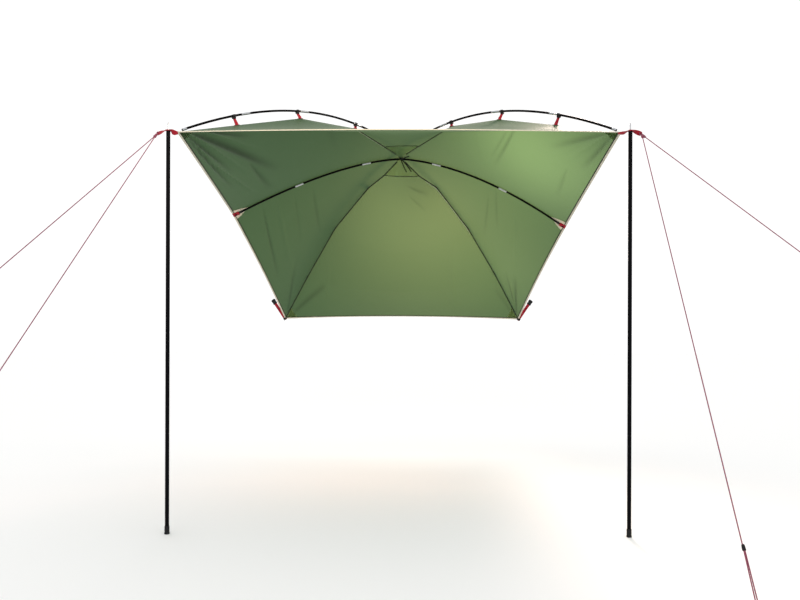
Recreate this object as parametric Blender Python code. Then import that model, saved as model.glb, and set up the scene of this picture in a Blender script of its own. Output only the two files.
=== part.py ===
"""Awning that stands on two front poles and hooks onto a parked vehicle behind it.

Six fabric panels meet at an apex patch. Two arched poles cross above the fabric and carry it from
straps, a third arched pole runs under it from side to side, and four guy lines hold the front poles.
Metres, +Z up, +Y from the open front to the vehicle. The origin is the underside of the left foot.
"""

import math

import bmesh
import bpy
import numpy as np
from mathutils import Matrix, Vector

# Driving dimensions
POLE_SPACING = 2.400
POLE_HEIGHT = 2.100
POLE_RADIUS = 0.010
SECTIONS = 4
CANOPY_DEPTH = 2.000
FRONT_HALF_WIDTH = 1.154
SIDE_HALF_WIDTH = {-1: 1.111, 1: 1.087}
REAR_HALF_WIDTH = 0.907
FRONT_HEIGHT = 2.096
REAR_HEIGHT = 1.075
SIDE_DEPTH = 1.084
SIDE_HEIGHT = {-1: 1.784, 1: 1.709}
APEX_SHARE = 0.560
APEX_HEIGHT = 2.169

# Arched poles: height above the straight line from corner to corner is
# t (1 - t) (rise + lean (t - 1/2) + flat (t - 1/2)^2)
ARCH_RISE = 2.7745
ARCH_LEAN = 0.697
ARCH_FLAT = -0.107
ARCH_RADIUS = 0.00475
ARCH_SECTIONS = 7
CROSS_SECTIONS = 5
CROSS_POWER = 1.644
CROSS_SKEW = 0.026
FERRULE_LENGTH = 0.048
FERRULE_SCALE = 1.12
FERRULE_STEP = 0.0005
CROSSING_OFFSET = 0.0057
CROSSING_REACH = 0.06

# Clips: nominal shares of the way from the apex to a corner, the real shares of the fabric's loops, how
# far along the pole the clips sit beyond them, and how far the fabric hangs below the pole there
CLIP_SHARES = (0.255, 0.520, 0.785)
FRONT_CLIPS = {-1: (0.245, 0.510, 0.777), 1: (0.276, 0.508, 0.751)}
REAR_CLIPS = {-1: (0.275, 0.532, 0.765), 1: (0.251, 0.529, 0.781)}
CLIP_SLIDE = (0.000, 0.014, 0.014)
FRONT_DROPS = {-1: (0.028, 0.042, 0.055), 1: (0.027, 0.047, 0.060)}
REAR_DROPS = {-1: (0.024, 0.026, 0.030), 1: (0.050, 0.030, 0.040)}
PATCH_SHARE = 0.090
PATCH_INSET_SHARE = 0.003
REAR_DIP_SHARE = 0.130
REAR_DIP = 0.072
TIE_LIFT = 0.0012

# Fabric and webbing
FABRIC = 0.003
HEM_WIDTH = 0.012
HEM_THICKNESS = 0.004
FRONT_HEM_RISE = 0.014
REAR_HEM_RISE = 0.020
SIDE_BOW = {"front": 0.002, "rear": 0.010}
CROSS_CLEARANCE = 0.0118
CORNER_DROP = 0.0015
WEBBING = 0.0025
WEBBING_WIDTH = 0.025
STRAP = 0.002
STRAP_WIDTH = 0.012
PLATE_REACH = 0.031
PLATE_SIDES = 24
PLATE_SQUARENESS = 0.4

# Loop at each front corner: its place from the pole's axis and top, its slope and its half sizes
LOOP_REACH = 0.043
LOOP_DROP = 0.007
LOOP_SLOPE = -0.55
LOOP_LENGTH = 0.014
LOOP_RISE = 0.006

# Pole fittings
FOOT_HEIGHT = 0.042
FOOT_BOTTOM_RADIUS = 0.0132
FOOT_TOP_RADIUS = 0.0120
FOOT_FLOOR = 0.006
FOOT_FLARE = (0.006, 0.012)
NECK = 0.002
NECK_DEPTH = 0.0008
SPIKE_RADIUS = 0.0040
SPIKE_HEIGHT = 0.037
SPIKE_ROOT = 0.030
SPIKE_TIP = 0.006
SPIKE_TIP_SCALE = 0.55
CLIP_LENGTH = 0.014
CLIP_RADIUS = 0.0085
CLIP_PLAY = 0.0008
CUP_RADIUS = 0.00625
CUP_LENGTH = 0.036
CUP_WALL = 0.0009
CUP_END = 0.004

# Ground stays
LINE_RADIUS = 0.0015
LINE_SPREAD = {"side": 0.0035, "front": -0.0035}
PEG_DISTANCE = 1.500
PEG_REACH = {-1: (1.570, 0.680), 1: (1.920, 0.000)}
PEG_RADIUS = 0.003
PEG_HEIGHT = 0.040
PEG_HOOK = 0.010
LOOP_HEIGHT = 0.018
RUNNER_SHARE = 0.840
RUNNER = (0.026, 0.015, 0.006)

# Straps to the vehicle
REAR_STRAP_LENGTH = 0.160
STRAP_START = 0.0012
REAR_STRAP_WIDTH = 0.018
REAR_STRAP_WAY = (0.55, 0.40, 0.73)
REAR_HOOK = (0.036, 0.022, 0.010)

GAP = 0.0003
ROUND_SIDES = 8
POLE_SIDES = 16
SMALL_SIDES = 12
RINGS = 20
RELAX_STEPS = 1500
FABRIC_SHARES = (PATCH_SHARE, 0.175, 0.255, 0.345, 0.430, 0.520, 0.610, 0.700, 0.785, 0.860, 0.930)
PANEL_COLUMNS = {"middle": 12, "side": 8}
SIDE_NAME = {-1: "left", 1: "right"}
MIDDLE_X = POLE_SPACING / 2
UP = np.array([0.0, 0.0, 1.0])


def linear(hex_colour):
    """Turn an sRGB hex colour into linear RGBA."""
    values = [int(hex_colour[i:i + 2], 16) / 255 for i in (0, 2, 4)]
    return [v / 12.92 if v <= 0.04045 else ((v + 0.055) / 1.055) ** 2.4 for v in values] + [1.0]


def make_material(name, hex_colour, roughness, metallic=0.0):
    """Make a Principled BSDF material."""
    material = bpy.data.materials.new(name)
    material.use_nodes = True
    shader = material.node_tree.nodes["Principled BSDF"]
    shader.inputs["Base Color"].default_value = linear(hex_colour)
    shader.inputs["Roughness"].default_value = roughness
    shader.inputs["Metallic"].default_value = metallic
    return material


def make_materials():
    """Give each kind of piece its material."""
    return {
        "fabric": make_material("green_fabric", "56693f", 0.75),
        "hem": make_material("beige_tape", "b9b09a", 0.80),
        "steel": make_material("black_steel_tube", "232326", 0.40, 0.6),
        "rod": make_material("black_rod", "161618", 0.45),
        "ferrule": make_material("bare_metal", "b5b8bb", 0.30, 1.0),
        "webbing": make_material("red_webbing", "b3202f", 0.80),
        "plastic": make_material("black_plastic", "17171a", 0.50),
        "line": make_material("red_line", "8e3a3c", 0.80),
        "peg": make_material("peg_steel", "8d9094", 0.35, 1.0),
    }


def unit(vector):
    """Scale a vector to length 1."""
    return vector / np.linalg.norm(vector)


def add_mesh(name, solid, material):
    """Make one object from the points and faces of a closed solid."""
    points, faces = solid
    mesh = bpy.data.meshes.new(name)
    mesh.from_pydata([tuple(map(float, p)) for p in points], [], [list(face) for face in faces])
    work = bmesh.new()
    work.from_mesh(mesh)
    bmesh.ops.recalc_face_normals(work, faces=work.faces)
    work.to_mesh(mesh)
    work.free()
    mesh.shade_smooth()
    mesh.set_sharp_from_angle(angle=math.radians(35))
    mesh.materials.append(material)
    piece = bpy.data.objects.new(name, mesh)
    bpy.context.collection.objects.link(piece)
    return piece


def add_union(name, solids, material):
    """Make one object from solids that overlap, joined by Boolean unions."""
    piece = add_mesh(name, solids[0], material)
    for i, solid in enumerate(solids[1:]):
        other = add_mesh(f"{name}_joined_{i}", solid, material)
        union = piece.modifiers.new("join", "BOOLEAN")
        union.operation = "UNION"
        union.object = other
        whole = piece.evaluated_get(bpy.context.evaluated_depsgraph_get())
        joined = bpy.data.meshes.new_from_object(whole)
        piece.modifiers.clear()
        piece.data = joined
        bpy.data.objects.remove(other, do_unlink=True)
    return piece


def round_profile(radius, sides=ROUND_SIDES):
    """Points of a circle for a sweep."""
    angles = 2 * math.pi * (np.arange(sides) + 0.5) / sides
    return np.stack([radius * np.cos(angles), radius * np.sin(angles)], axis=1)


def flat_profile(width, thickness):
    """Corners of a rectangle for a sweep."""
    w, t = width / 2, thickness / 2
    return np.array([(-w, -t), (w, -t), (w, t), (-w, t)])


def sweep(path, profile, reference=UP, closed=False, scales=None):
    """Carry a profile along a path, with its second axis kept near the reference direction."""
    path = np.asarray(path, float)
    scales = np.ones(len(path)) if scales is None else scales
    if closed:
        ways = np.roll(path, -1, axis=0) - np.roll(path, 1, axis=0)
    else:
        ways = np.gradient(path, axis=0)
    sides, rings = len(profile), len(path)
    points = []
    for place, way, scale in zip(path, ways, scales):
        across = unit(np.cross(way, reference))
        above = unit(np.cross(across, way))
        points += [place + scale * (a * across + b * above) for a, b in profile]
    faces = []
    for i in range(rings if closed else rings - 1):
        for j in range(sides):
            k, n = (j + 1) % sides, (i + 1) % rings
            faces.append((i * sides + j, i * sides + k, n * sides + k, n * sides + j))
    if not closed:
        faces.append(tuple(range(sides)))
        faces.append(tuple(range((rings - 1) * sides, rings * sides)))
    return points, faces


def turned(profile, centre, way=UP, sides=POLE_SIDES):
    """Turn a closed (radius, height) profile about the line from centre along way."""
    work = bmesh.new()
    ring = [work.verts.new((radius, 0.0, height)) for radius, height in profile]
    edges = [work.edges.new((a, b)) for a, b in zip(ring, ring[1:] + ring[:1])]
    bmesh.ops.spin(work, geom=ring + edges, cent=(0, 0, 0), axis=(0, 0, 1),
                   angle=2 * math.pi, steps=sides, use_merge=True)
    on_axis = [v for v in work.verts if math.hypot(v.co.x, v.co.y) < 1e-6]
    bmesh.ops.remove_doubles(work, verts=on_axis, dist=1e-6)
    bmesh.ops.dissolve_degenerate(work, dist=1e-7, edges=work.edges)
    loose = [e for e in work.edges if not e.link_faces]
    bmesh.ops.delete(work, geom=loose, context="EDGES")
    turn = Vector((0, 0, 1)).rotation_difference(Vector(way)).to_matrix().to_4x4()
    work.transform(Matrix.Translation(Vector(centre)) @ turn)
    work.verts.index_update()
    points = [tuple(v.co) for v in work.verts]
    faces = [[v.index for v in face.verts] for face in work.faces]
    work.free()
    return points, faces


def sheet_solid(grid, thickness):
    """Give a grid of points (rows, columns, 3) a thickness measured straight up and down.

    Both faces are split along the same diagonals, so the thickness holds on bent cells too.
    """
    rows, columns = grid.shape[:2]
    half = np.array([0, 0, thickness / 2])
    points = list((grid + half).reshape(-1, 3)) + list((grid - half).reshape(-1, 3))
    low = rows * columns
    faces = []
    for i in range(rows - 1):
        for j in range(columns - 1):
            a, b = i * columns + j, i * columns + j + 1
            c, d = b + columns, a + columns
            faces += [(a, b, c), (a, c, d), (low + c, low + b, low + a), (low + d, low + c, low + a)]
    border = [j for j in range(columns)]
    border += [i * columns + columns - 1 for i in range(1, rows)]
    border += [(rows - 1) * columns + j for j in range(columns - 2, -1, -1)]
    border += [i * columns for i in range(rows - 2, 0, -1)]
    for a, b in zip(border, border[1:] + border[:1]):
        faces.append((a, low + a, low + b, b))
    return points, faces


def arch_point(share, side):
    """Middle line of an arched pole from its front corner (side -1 is the left one) to the rear."""
    t = np.asarray(share, float)
    x = MIDDLE_X + side * (FRONT_HALF_WIDTH - (FRONT_HALF_WIDTH + REAR_HALF_WIDTH) * t)
    arch = ARCH_RISE + ARCH_LEAN * (t - 0.5) + ARCH_FLAT * (t - 0.5) ** 2
    z = FRONT_HEIGHT + (REAR_HEIGHT - FRONT_HEIGHT) * t + t * (1 - t) * arch
    z = z - side * CROSSING_OFFSET * np.exp(-(((t - APEX_SHARE) / CROSSING_REACH) ** 2))
    return np.stack([x, CANOPY_DEPTH * t, z], axis=-1)


def between_sides(sizes, u):
    """Mix of the left and the right size, from -1 at the left to 1 at the right."""
    return (sizes[1] + sizes[-1]) / 2 + u * (sizes[1] - sizes[-1]) / 2


def cross_point(way):
    """Middle line of the pole under the fabric, from -1 at the left edge to 1 at the right edge."""
    u = np.asarray(way, float)
    apex_y = CANOPY_DEPTH * APEX_SHARE
    arch = (APEX_HEIGHT - between_sides(SIDE_HEIGHT, 0)) * (1 - np.abs(u) ** CROSS_POWER)
    x = MIDDLE_X + between_sides(SIDE_HALF_WIDTH, u) * u
    y = SIDE_DEPTH + (apex_y - SIDE_DEPTH) * (1 - u ** 2)
    z = between_sides(SIDE_HEIGHT, u) + arch + CROSS_SKEW * u * (1 - u ** 2) - CROSS_CLEARANCE
    return np.stack([x, y, z], axis=-1)


def corner_share(half, share):
    """Place along an arched pole that lies a share of the way from the apex to a corner."""
    end = 0.0 if half == "front" else 1.0
    return APEX_SHARE + (end - APEX_SHARE) * np.asarray(share, float)


def clip_share(half, side, share):
    """Real share of the way to a corner for a nominal one: the nominal CLIP_SHARES lie at the clips."""
    clips = FRONT_CLIPS[side] if half == "front" else REAR_CLIPS[side]
    return np.interp(share, [0.0, *CLIP_SHARES, 1.0], [0.0, *clips, 1.0])


def pole_above(half, side, share):
    """Middle of the arched pole above a nominal share of a seam."""
    return arch_point(corner_share(half, clip_share(half, side, share)), side)


def seam_line(half, side, share):
    """Seam from the apex (share 0) to the corner of the pole that starts at the front on this side.

    The fabric is taut between the clips, so its height runs straight from one clip to the next.
    """
    drops = FRONT_DROPS[side] if half == "front" else REAR_DROPS[side]
    shares = [0.0, *CLIP_SHARES, 1.0]
    corner_height = FRONT_HEIGHT - CORNER_DROP if half == "front" else REAR_HEIGHT
    clip_heights = pole_above(half, side, CLIP_SHARES)[:, 2] - np.array(drops)
    heights = [APEX_HEIGHT, *clip_heights, corner_height]
    if half == "rear":
        shares.insert(1, REAR_DIP_SHARE)
        heights.insert(1, pole_above(half, side, REAR_DIP_SHARE)[2] - REAR_DIP)
    line = pole_above(half, side, share)
    line[..., 2] = np.interp(share, shares, heights)
    return line


def crease_line(side, share):
    """Crease over the pole under the fabric, from the apex to the middle of one side edge."""
    line = cross_point(side * np.asarray(share, float))
    line[..., 2] += CROSS_CLEARANCE
    return line


def straight_edge(start, end, across, rise=0.0, bow=0.0, inwards=(0.0, 0.0)):
    """Edge between two corners, with a rise and a bow that are largest at its middle."""
    w = np.asarray(across, float)[..., None]
    swell = 4 * w * (1 - w)
    lift = np.array([bow * inwards[0], bow * inwards[1], rise])
    return start + (end - start) * w + lift * swell


class Panel:
    """One fabric panel between two lines from the apex and one outer edge.

    Its plan is the mix of the two lines, and its heights are those of a stretched membrane: each
    point is the weighted mean of its four neighbours, as on a soap film with that border.
    """

    def __init__(self, line_a, line_b, edge, columns):
        self.line_a = line_a
        self.line_b = line_b
        self.edge = edge
        self.columns = columns
        self.heights = self.stretch()

    def plan(self, shares, across):
        """Points on the panel whose heights are those of the straight mix of its borders."""
        s, w = np.meshgrid(shares, across, indexing="ij")
        a, b = self.line_a(s), self.line_b(s)
        first, last = self.line_a(np.ones_like(w)), self.line_b(np.ones_like(w))
        swell = self.edge(w) - (first + (last - first) * w[..., None])
        return a + (b - a) * w[..., None] + swell * s[..., None]

    def stretch(self):
        """Relax the heights on an even grid until the membrane is at rest."""
        shares = np.linspace(0, 1, RINGS + 1)
        across = np.linspace(0, 1, self.columns + 1)
        heights = self.plan(shares, across)[..., 2]
        a, b, apex = self.line_a(np.float64(1)), self.line_b(np.float64(1)), self.line_a(np.float64(0))
        opening = Vector((a - apex)[:2]).angle(Vector((b - apex)[:2]))
        ring = np.arange(1, RINGS)[:, None]
        turn = (1 / (ring * opening / self.columns)) ** 2
        for _ in range(RELAX_STEPS):
            out = heights[2:, 1:-1] * (1 + 0.5 / ring) + heights[:-2, 1:-1] * (1 - 0.5 / ring)
            side = (heights[1:-1, 2:] + heights[1:-1, :-2]) * turn
            heights[1:-1, 1:-1] = (out + side) / (2 + 2 * turn)
        return heights

    def points(self, shares, across):
        """Points on the stretched panel."""
        grid = self.plan(shares, across)
        even_shares = np.linspace(0, 1, RINGS + 1)
        even_across = np.linspace(0, 1, self.columns + 1)
        along = np.array([np.interp(shares, even_shares, column) for column in self.heights.T])
        grid[..., 2] = np.array([np.interp(across, even_across, row) for row in along.T])
        return grid

    def hem_start(self):
        """Share of the way from the apex at which the hem begins."""
        ends = self.line_a(np.float64(1)), self.line_b(np.float64(1)), self.line_a(np.float64(0))
        edge = unit((ends[1] - ends[0])[:2])
        arm = (ends[2] - ends[0])[:2]
        return 1 - HEM_WIDTH / abs(edge[0] * arm[1] - edge[1] * arm[0])

    def fabric(self):
        """Grid of the panel's own cloth, pulled back a little from its borders."""
        shares = np.array([*FABRIC_SHARES, self.hem_start() - GAP])
        grid = self.points(shares, np.linspace(0, 1, self.columns + 1))
        for edge, inside in ((0, 1), (-1, -2)):
            way = grid[:, inside] - grid[:, edge]
            grid[:, edge] += way * (GAP / 2 / np.linalg.norm(way[:, :2], axis=1))[:, None]
        return grid

    def hem(self):
        """Grid of the strip along the outer edge."""
        start = self.hem_start()
        return self.points(np.array([start, (1 + start) / 2, 1.0]), np.linspace(0, 1, self.columns + 1))

    def patch(self):
        """Grid of the panel's share of the apex patch, without the apex itself."""
        return self.points(np.array([PATCH_SHARE / 2, PATCH_SHARE - PATCH_INSET_SHARE]),
                           np.linspace(0, 1, self.columns + 1))


def corner(half, side):
    """Outer corner of the canopy at which a seam ends."""
    return seam_line(half, side, np.float64(1))


def make_panels():
    """Lay out the six panels, each between two lines from the apex."""
    def front_line(side):
        return lambda share: seam_line("front", side, share)

    def rear_line(side):
        return lambda share: seam_line("rear", -side, share)

    def crease(side):
        return lambda share: crease_line(side, share)

    def edge(start, end, **swell):
        return lambda across: straight_edge(start, end, across, **swell)

    front = edge(corner("front", -1), corner("front", 1), rise=FRONT_HEM_RISE)
    rear = edge(corner("rear", -1), corner("rear", 1), rise=REAR_HEM_RISE)
    columns = PANEL_COLUMNS["middle"]
    panels = {"front": Panel(front_line(-1), front_line(1), front, columns),
              "rear": Panel(rear_line(1), rear_line(-1), rear, columns)}
    for side in (-1, 1):
        middle = crease_line(side, np.float64(1))
        inwards = (-side, 0.0)
        front_edge = edge(corner("front", side), middle, bow=SIDE_BOW["front"], inwards=inwards)
        rear_edge = edge(middle, corner("rear", -side), bow=SIDE_BOW["rear"], inwards=inwards)
        columns = PANEL_COLUMNS["side"]
        panels["front_" + SIDE_NAME[side]] = Panel(front_line(side), crease(side), front_edge, columns)
        panels["rear_" + SIDE_NAME[side]] = Panel(crease(side), rear_line(side), rear_edge, columns)
    return panels


def make_canopy(panels, materials):
    """Make the fabric panels, the hems and the apex patch."""
    for name, panel in panels.items():
        add_mesh("canopy_" + name, sheet_solid(panel.fabric(), FABRIC), materials["fabric"])
    for name in ("front", "rear"):
        hem = pull_ends(panels[name].hem())
        add_mesh("hem_" + name, sheet_solid(hem, HEM_THICKNESS), materials["hem"])
    for side in SIDE_NAME.values():
        strips = [panels["front_" + side].hem(), panels["rear_" + side].hem()[:, 1:]]
        hem = pull_ends(np.concatenate(strips, axis=1))
        add_mesh("hem_" + side, sheet_solid(hem, HEM_THICKNESS), materials["hem"])
    around = ("front", "front_right", "rear_right", "rear", "rear_left", "front_left")
    add_mesh("canopy_apex_patch", patch_solid([panels[name].patch() for name in around]),
             materials["fabric"])


def pull_ends(grid):
    """Draw both ends of a strip back, so that the strips that meet at a corner don't touch."""
    grid = grid.copy()
    for end, inside in ((0, 1), (-1, -2)):
        way = grid[:, inside] - grid[:, end]
        grid[:, end] += way * (GAP / np.linalg.norm(way[:, :2], axis=1))[:, None]
    return grid


def patch_solid(grids):
    """Join six wedges round the apex into one closed disc."""
    apex = np.array([MIDDLE_X, CANOPY_DEPTH * APEX_SHARE, APEX_HEIGHT])
    ring = np.concatenate(order_round(apex, grids), axis=1)
    rows, columns = ring.shape[:2]
    half = np.array([0, 0, FABRIC / 2])
    points = [apex + half, apex - half]
    points += list((ring + half).reshape(-1, 3)) + list((ring - half).reshape(-1, 3))
    low = 2 + rows * columns
    faces = []
    for j in range(columns):
        k = (j + 1) % columns
        faces += [(0, 2 + j, 2 + k), (1, low + k, low + j)]
        for i in range(rows - 1):
            a, b = i * columns + j, i * columns + k
            for corners in ((a, a + columns, b + columns), (a, b + columns, b)):
                faces.append(tuple(2 + i for i in corners))
                faces.append(tuple(low + i for i in reversed(corners)))
        a, b = (rows - 1) * columns + j, (rows - 1) * columns + k
        faces.append((2 + a, low + a, low + b, 2 + b))
    return points, faces


def order_round(apex, wedges):
    """Order each wedge's columns by angle round the apex and leave out its last column."""
    ordered = []
    for wedge in wedges:
        arm = wedge[-1, :, :2] - apex[:2]
        angles = np.unwrap(np.arctan2(arm[:, 1], arm[:, 0]))
        ordered.append(wedge[:, ::-1] if angles[-1] < angles[0] else wedge)
    return [wedge[:, :-1] for wedge in ordered]


def fabric_top(half, side, share):
    """Top of the fabric on a seam."""
    line = seam_line(half, side, share)
    line[..., 2] += FABRIC / 2
    return line


def pole_ends(side):
    """Places along an arched pole where its two ends rest on the seam."""
    ends = []
    for half in ("front", "rear"):
        away = np.linspace(0.0, 0.08, 801)
        share = 1 - away
        pole = pole_above(half, side, share)
        step = pole_above(half, side, share - 0.001) - pole
        slope = np.hypot(np.hypot(step[:, 0], step[:, 1]), step[:, 2]) / np.hypot(step[:, 0], step[:, 1])
        clear = pole[:, 2] - ARCH_RADIUS * slope - fabric_top(half, side, share)[:, 2] - GAP
        ends.append(float(corner_share(half, clip_share(half, side, share[np.argmax(clear > 0)]))))
    return ends


def even_places(point, start, end, count=400):
    """Parameters of a curve and its length up to each of them."""
    places = np.linspace(start, end, count)
    steps = np.linalg.norm(np.diff(point(places), axis=0), axis=1)
    return places, np.concatenate([[0.0], np.cumsum(steps)])


def jointed_pole(name, point, start, end, sections, materials, points_each=10):
    """Make a bent pole whose sections meet in ferrules a little wider than the rods."""
    places, lengths = even_places(point, start, end)
    joints = np.linspace(0, lengths[-1], sections + 1)
    half = FERRULE_LENGTH / 2
    reaches, scales = [], []
    for i in range(sections):
        first = joints[i] + (half if i else 0)
        last = joints[i + 1] - (half if i < sections - 1 else 0)
        reaches += list(np.linspace(first, last, points_each))
        scales += [1.0] * points_each
        if i < sections - 1:
            reaches += [last + FERRULE_STEP, last + FERRULE_LENGTH - FERRULE_STEP]
            scales += [FERRULE_SCALE] * 2
    along = np.interp(reaches, lengths, places)
    add_mesh(name, sweep(point(along), round_profile(ARCH_RADIUS), scales=scales), materials["rod"])


def make_arch_poles(materials):
    """Make the two poles that cross above the fabric and the one that runs under it."""
    for side in (-1, 1):
        start, end = pole_ends(side)
        jointed_pole("arch_pole_" + SIDE_NAME[side], lambda t: arch_point(t, side),
                     start, end, ARCH_SECTIONS, materials)
    jointed_pole("cross_pole", cross_point, -cross_reach(-1), cross_reach(1), CROSS_SECTIONS, materials)


def cross_reach(side):
    """Place of one end of the pole under the fabric, which stops a third of a cup short of the edge."""
    return 1 - CUP_LENGTH / 3 / SIDE_HALF_WIDTH[side]


def make_side_pockets(materials):
    """Make the pocket that holds each end of the pole under the fabric."""
    for side in (-1, 1):
        reach = cross_reach(side)
        tip = cross_point(side * reach)
        way = unit(tip - cross_point(side * (reach - 0.01)))
        bore = CUP_RADIUS - CUP_WALL
        inside = CUP_LENGTH * 2 / 3
        profile = [(0, GAP), (bore, GAP), (bore, -inside), (CUP_RADIUS, -inside),
                   (CUP_RADIUS, GAP + CUP_END), (0, GAP + CUP_END)]
        pocket = turned(profile, tip, way, SMALL_SIDES)
        add_mesh("side_pocket_" + SIDE_NAME[side], pocket, materials["webbing"])


def make_clips(materials):
    """Make the clips round the arched poles, each with the strap that carries the fabric from it."""
    bore = ARCH_RADIUS + CLIP_PLAY
    profile = [(bore, -CLIP_LENGTH / 2), (CLIP_RADIUS, -CLIP_LENGTH / 2),
               (CLIP_RADIUS, CLIP_LENGTH / 2), (bore, CLIP_LENGTH / 2)]
    for side in (-1, 1):
        for half in ("front", "rear"):
            for number, (share, slide) in enumerate(zip(CLIP_SHARES, CLIP_SLIDE), 1):
                place = float(corner_share(half, clip_share(half, side, share) + slide))
                way = unit(arch_point(place + 0.004, side) - arch_point(place - 0.004, side))
                ring = turned(profile, arch_point(place, side), way, 10)
                add_union(f"clip_{SIDE_NAME[side]}_{half}_{number}",
                          [ring, clip_strap(half, side, share, slide, way)], materials["webbing"])


def clip_strap(half, side, share, slide, way):
    """Flat strap in the pole's own upright plane, from the seam up to the clip."""
    plan = unit(way[:2])
    reach = STRAP_WIDTH / 2 / np.hypot(FRONT_HALF_WIDTH + REAR_HALF_WIDTH, CANOPY_DEPTH)
    end = 0.0 if half == "front" else 1.0
    step = reach / abs(end - APEX_SHARE)
    across = np.array([-plan[1], plan[0], 0]) * STRAP / 2
    below = (CLIP_RADIUS + ARCH_RADIUS) / 2 / np.hypot(way[0], way[1])
    corners = []
    for near in (share - step, share + step):
        foot = fabric_top(half, side, near) + UP * GAP
        head = arch_point(corner_share(half, clip_share(half, side, near) + slide), side) - UP * below
        corners.append((foot, head))
    points = [p + a for foot, head in corners for p in (foot, head) for a in (across, -across)]
    faces = [(0, 1, 3, 2), (4, 6, 7, 5), (0, 4, 5, 1), (2, 3, 7, 6), (0, 2, 6, 4), (1, 5, 7, 3)]
    return points, faces


def make_apex_tie(materials):
    """Make the strap that ties the lower pole at the crossing to the apex of the fabric."""
    foot = np.array([MIDDLE_X, CANOPY_DEPTH * APEX_SHARE, APEX_HEIGHT + FABRIC / 2 + TIE_LIFT])
    slope = unit(arch_point(APEX_SHARE + 0.01, 1) - arch_point(APEX_SHARE - 0.01, 1))
    level = np.hypot(slope[0], slope[1])
    spread = STRAP_WIDTH / 2 * abs(slope[2]) / level
    head = foot.copy()
    head[2] = arch_point(APEX_SHARE, 1)[2] - ARCH_RADIUS / level - spread - GAP
    strap = sweep([foot, head], flat_profile(STRAP_WIDTH, STRAP * 2), reference=(0, 1, 0))
    add_mesh("apex_tie", strap, materials["webbing"])


def make_front_poles(materials):
    """Make both front poles with a swaged neck at each joint, and the foot and spike of each."""
    low, high = FOOT_FLOOR + GAP, POLE_HEIGHT
    bore, floor = SPIKE_RADIUS + GAP, POLE_HEIGHT - SPIKE_ROOT
    for side in (-1, 1):
        x = MIDDLE_X + side * POLE_SPACING / 2
        profile = [(0, low), (POLE_RADIUS, low)]
        for joint in np.linspace(0, POLE_HEIGHT, SECTIONS + 1)[1:-1]:
            profile += [(POLE_RADIUS, joint - NECK), (POLE_RADIUS - NECK_DEPTH, joint),
                        (POLE_RADIUS, joint + NECK)]
        profile += [(POLE_RADIUS, high), (bore, high), (bore, floor), (0, floor)]
        add_mesh("front_pole_" + SIDE_NAME[side], turned(profile, (x, 0, 0)), materials["steel"])
        make_foot(x, SIDE_NAME[side], materials)
        add_mesh("pole_spike_" + SIDE_NAME[side], spike(x), materials["ferrule"])


def make_foot(x, name, materials):
    """Make the flared cap that a pole stands in."""
    bore = POLE_RADIUS + GAP
    profile = [(0, 0), (FOOT_BOTTOM_RADIUS, 0), (FOOT_BOTTOM_RADIUS, FOOT_FLARE[0]),
               (FOOT_TOP_RADIUS, FOOT_FLARE[1]), (FOOT_TOP_RADIUS, FOOT_HEIGHT),
               (bore, FOOT_HEIGHT), (bore, FOOT_FLOOR), (0, FOOT_FLOOR)]
    add_mesh("pole_foot_" + name, turned(profile, (x, 0, 0)), materials["plastic"])


def spike(x):
    """Pin that stands in the top of a pole and goes through the webbing."""
    low, top = POLE_HEIGHT - SPIKE_ROOT + GAP, POLE_HEIGHT + SPIKE_HEIGHT
    profile = [(0, low), (SPIKE_RADIUS, low), (SPIKE_RADIUS, top - SPIKE_TIP),
               (SPIKE_RADIUS * SPIKE_TIP_SCALE, top), (0, top)]
    return turned(profile, (x, 0, 0), sides=SMALL_SIDES)


def holed_plate(centre_x, low, inner, outer, width, thickness, hole):
    """Flat plate from inner to outer in X with rounded ends and a round hole at centre_x."""
    sides, power = PLATE_SIDES, PLATE_SQUARENESS
    angles = 2 * math.pi * np.arange(sides) / sides
    middle, half = (inner + outer) / 2, abs(outer - inner) / 2
    rim = []
    for angle in angles:
        x = np.sign(math.cos(angle)) * abs(math.cos(angle)) ** power * half + middle
        y = np.sign(math.sin(angle)) * abs(math.sin(angle)) ** power * width / 2
        rim.append((x, y))
    hole_rim = [(centre_x + hole * math.cos(a), hole * math.sin(a)) for a in angles]
    points = [(x, y, z) for z in (low, low + thickness) for x, y in rim + hole_rim]
    faces = []
    for i in range(sides):
        j, top = (i + 1) % sides, 2 * sides
        faces.append((i, j, sides + j, sides + i))
        faces.append((top + i, top + sides + i, top + sides + j, top + j))
        faces.append((i, top + i, top + j, j))
        faces.append((sides + i, sides + j, top + sides + j, top + sides + i))
    return points, faces


def webbing_end(side):
    """X of the inner end of the front webbing, where its underside meets the rising seam."""
    share = 1 - np.linspace(0, 0.05, 501)
    clear = POLE_HEIGHT - fabric_top("front", side, share)[:, 2]
    return float(seam_line("front", side, share[np.argmax(clear < GAP)])[0])


def loop_frame(side):
    """Centre and outward, downward direction of the webbing loop at a pole's top."""
    x = MIDDLE_X + side * (POLE_SPACING / 2 + LOOP_REACH)
    return np.array([x, 0.0, POLE_HEIGHT - LOOP_DROP]), unit(np.array([side, 0.0, LOOP_SLOPE]))


def make_corner_webbing(materials):
    """Make the webbing over each pole's spike, with the loop that the guy lines are tied to."""
    for side in (-1, 1):
        x = MIDDLE_X + side * POLE_SPACING / 2
        outer = x + side * PLATE_REACH
        plate = holed_plate(x, POLE_HEIGHT + GAP, webbing_end(side), outer, WEBBING_WIDTH, WEBBING,
                            SPIKE_RADIUS + GAP)
        centre, way = loop_frame(side)
        above = np.cross(way, (0, 1, 0))
        angles = 2 * math.pi * np.arange(16) / 16
        path = [centre + way * LOOP_LENGTH * math.cos(a) + above * LOOP_RISE * math.sin(a)
                for a in angles]
        loop = sweep(path, flat_profile(STRAP, STRAP_WIDTH), reference=(0, 1, 0), closed=True)
        add_union("corner_webbing_" + SIDE_NAME[side], [plate, loop], materials["webbing"])


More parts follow.
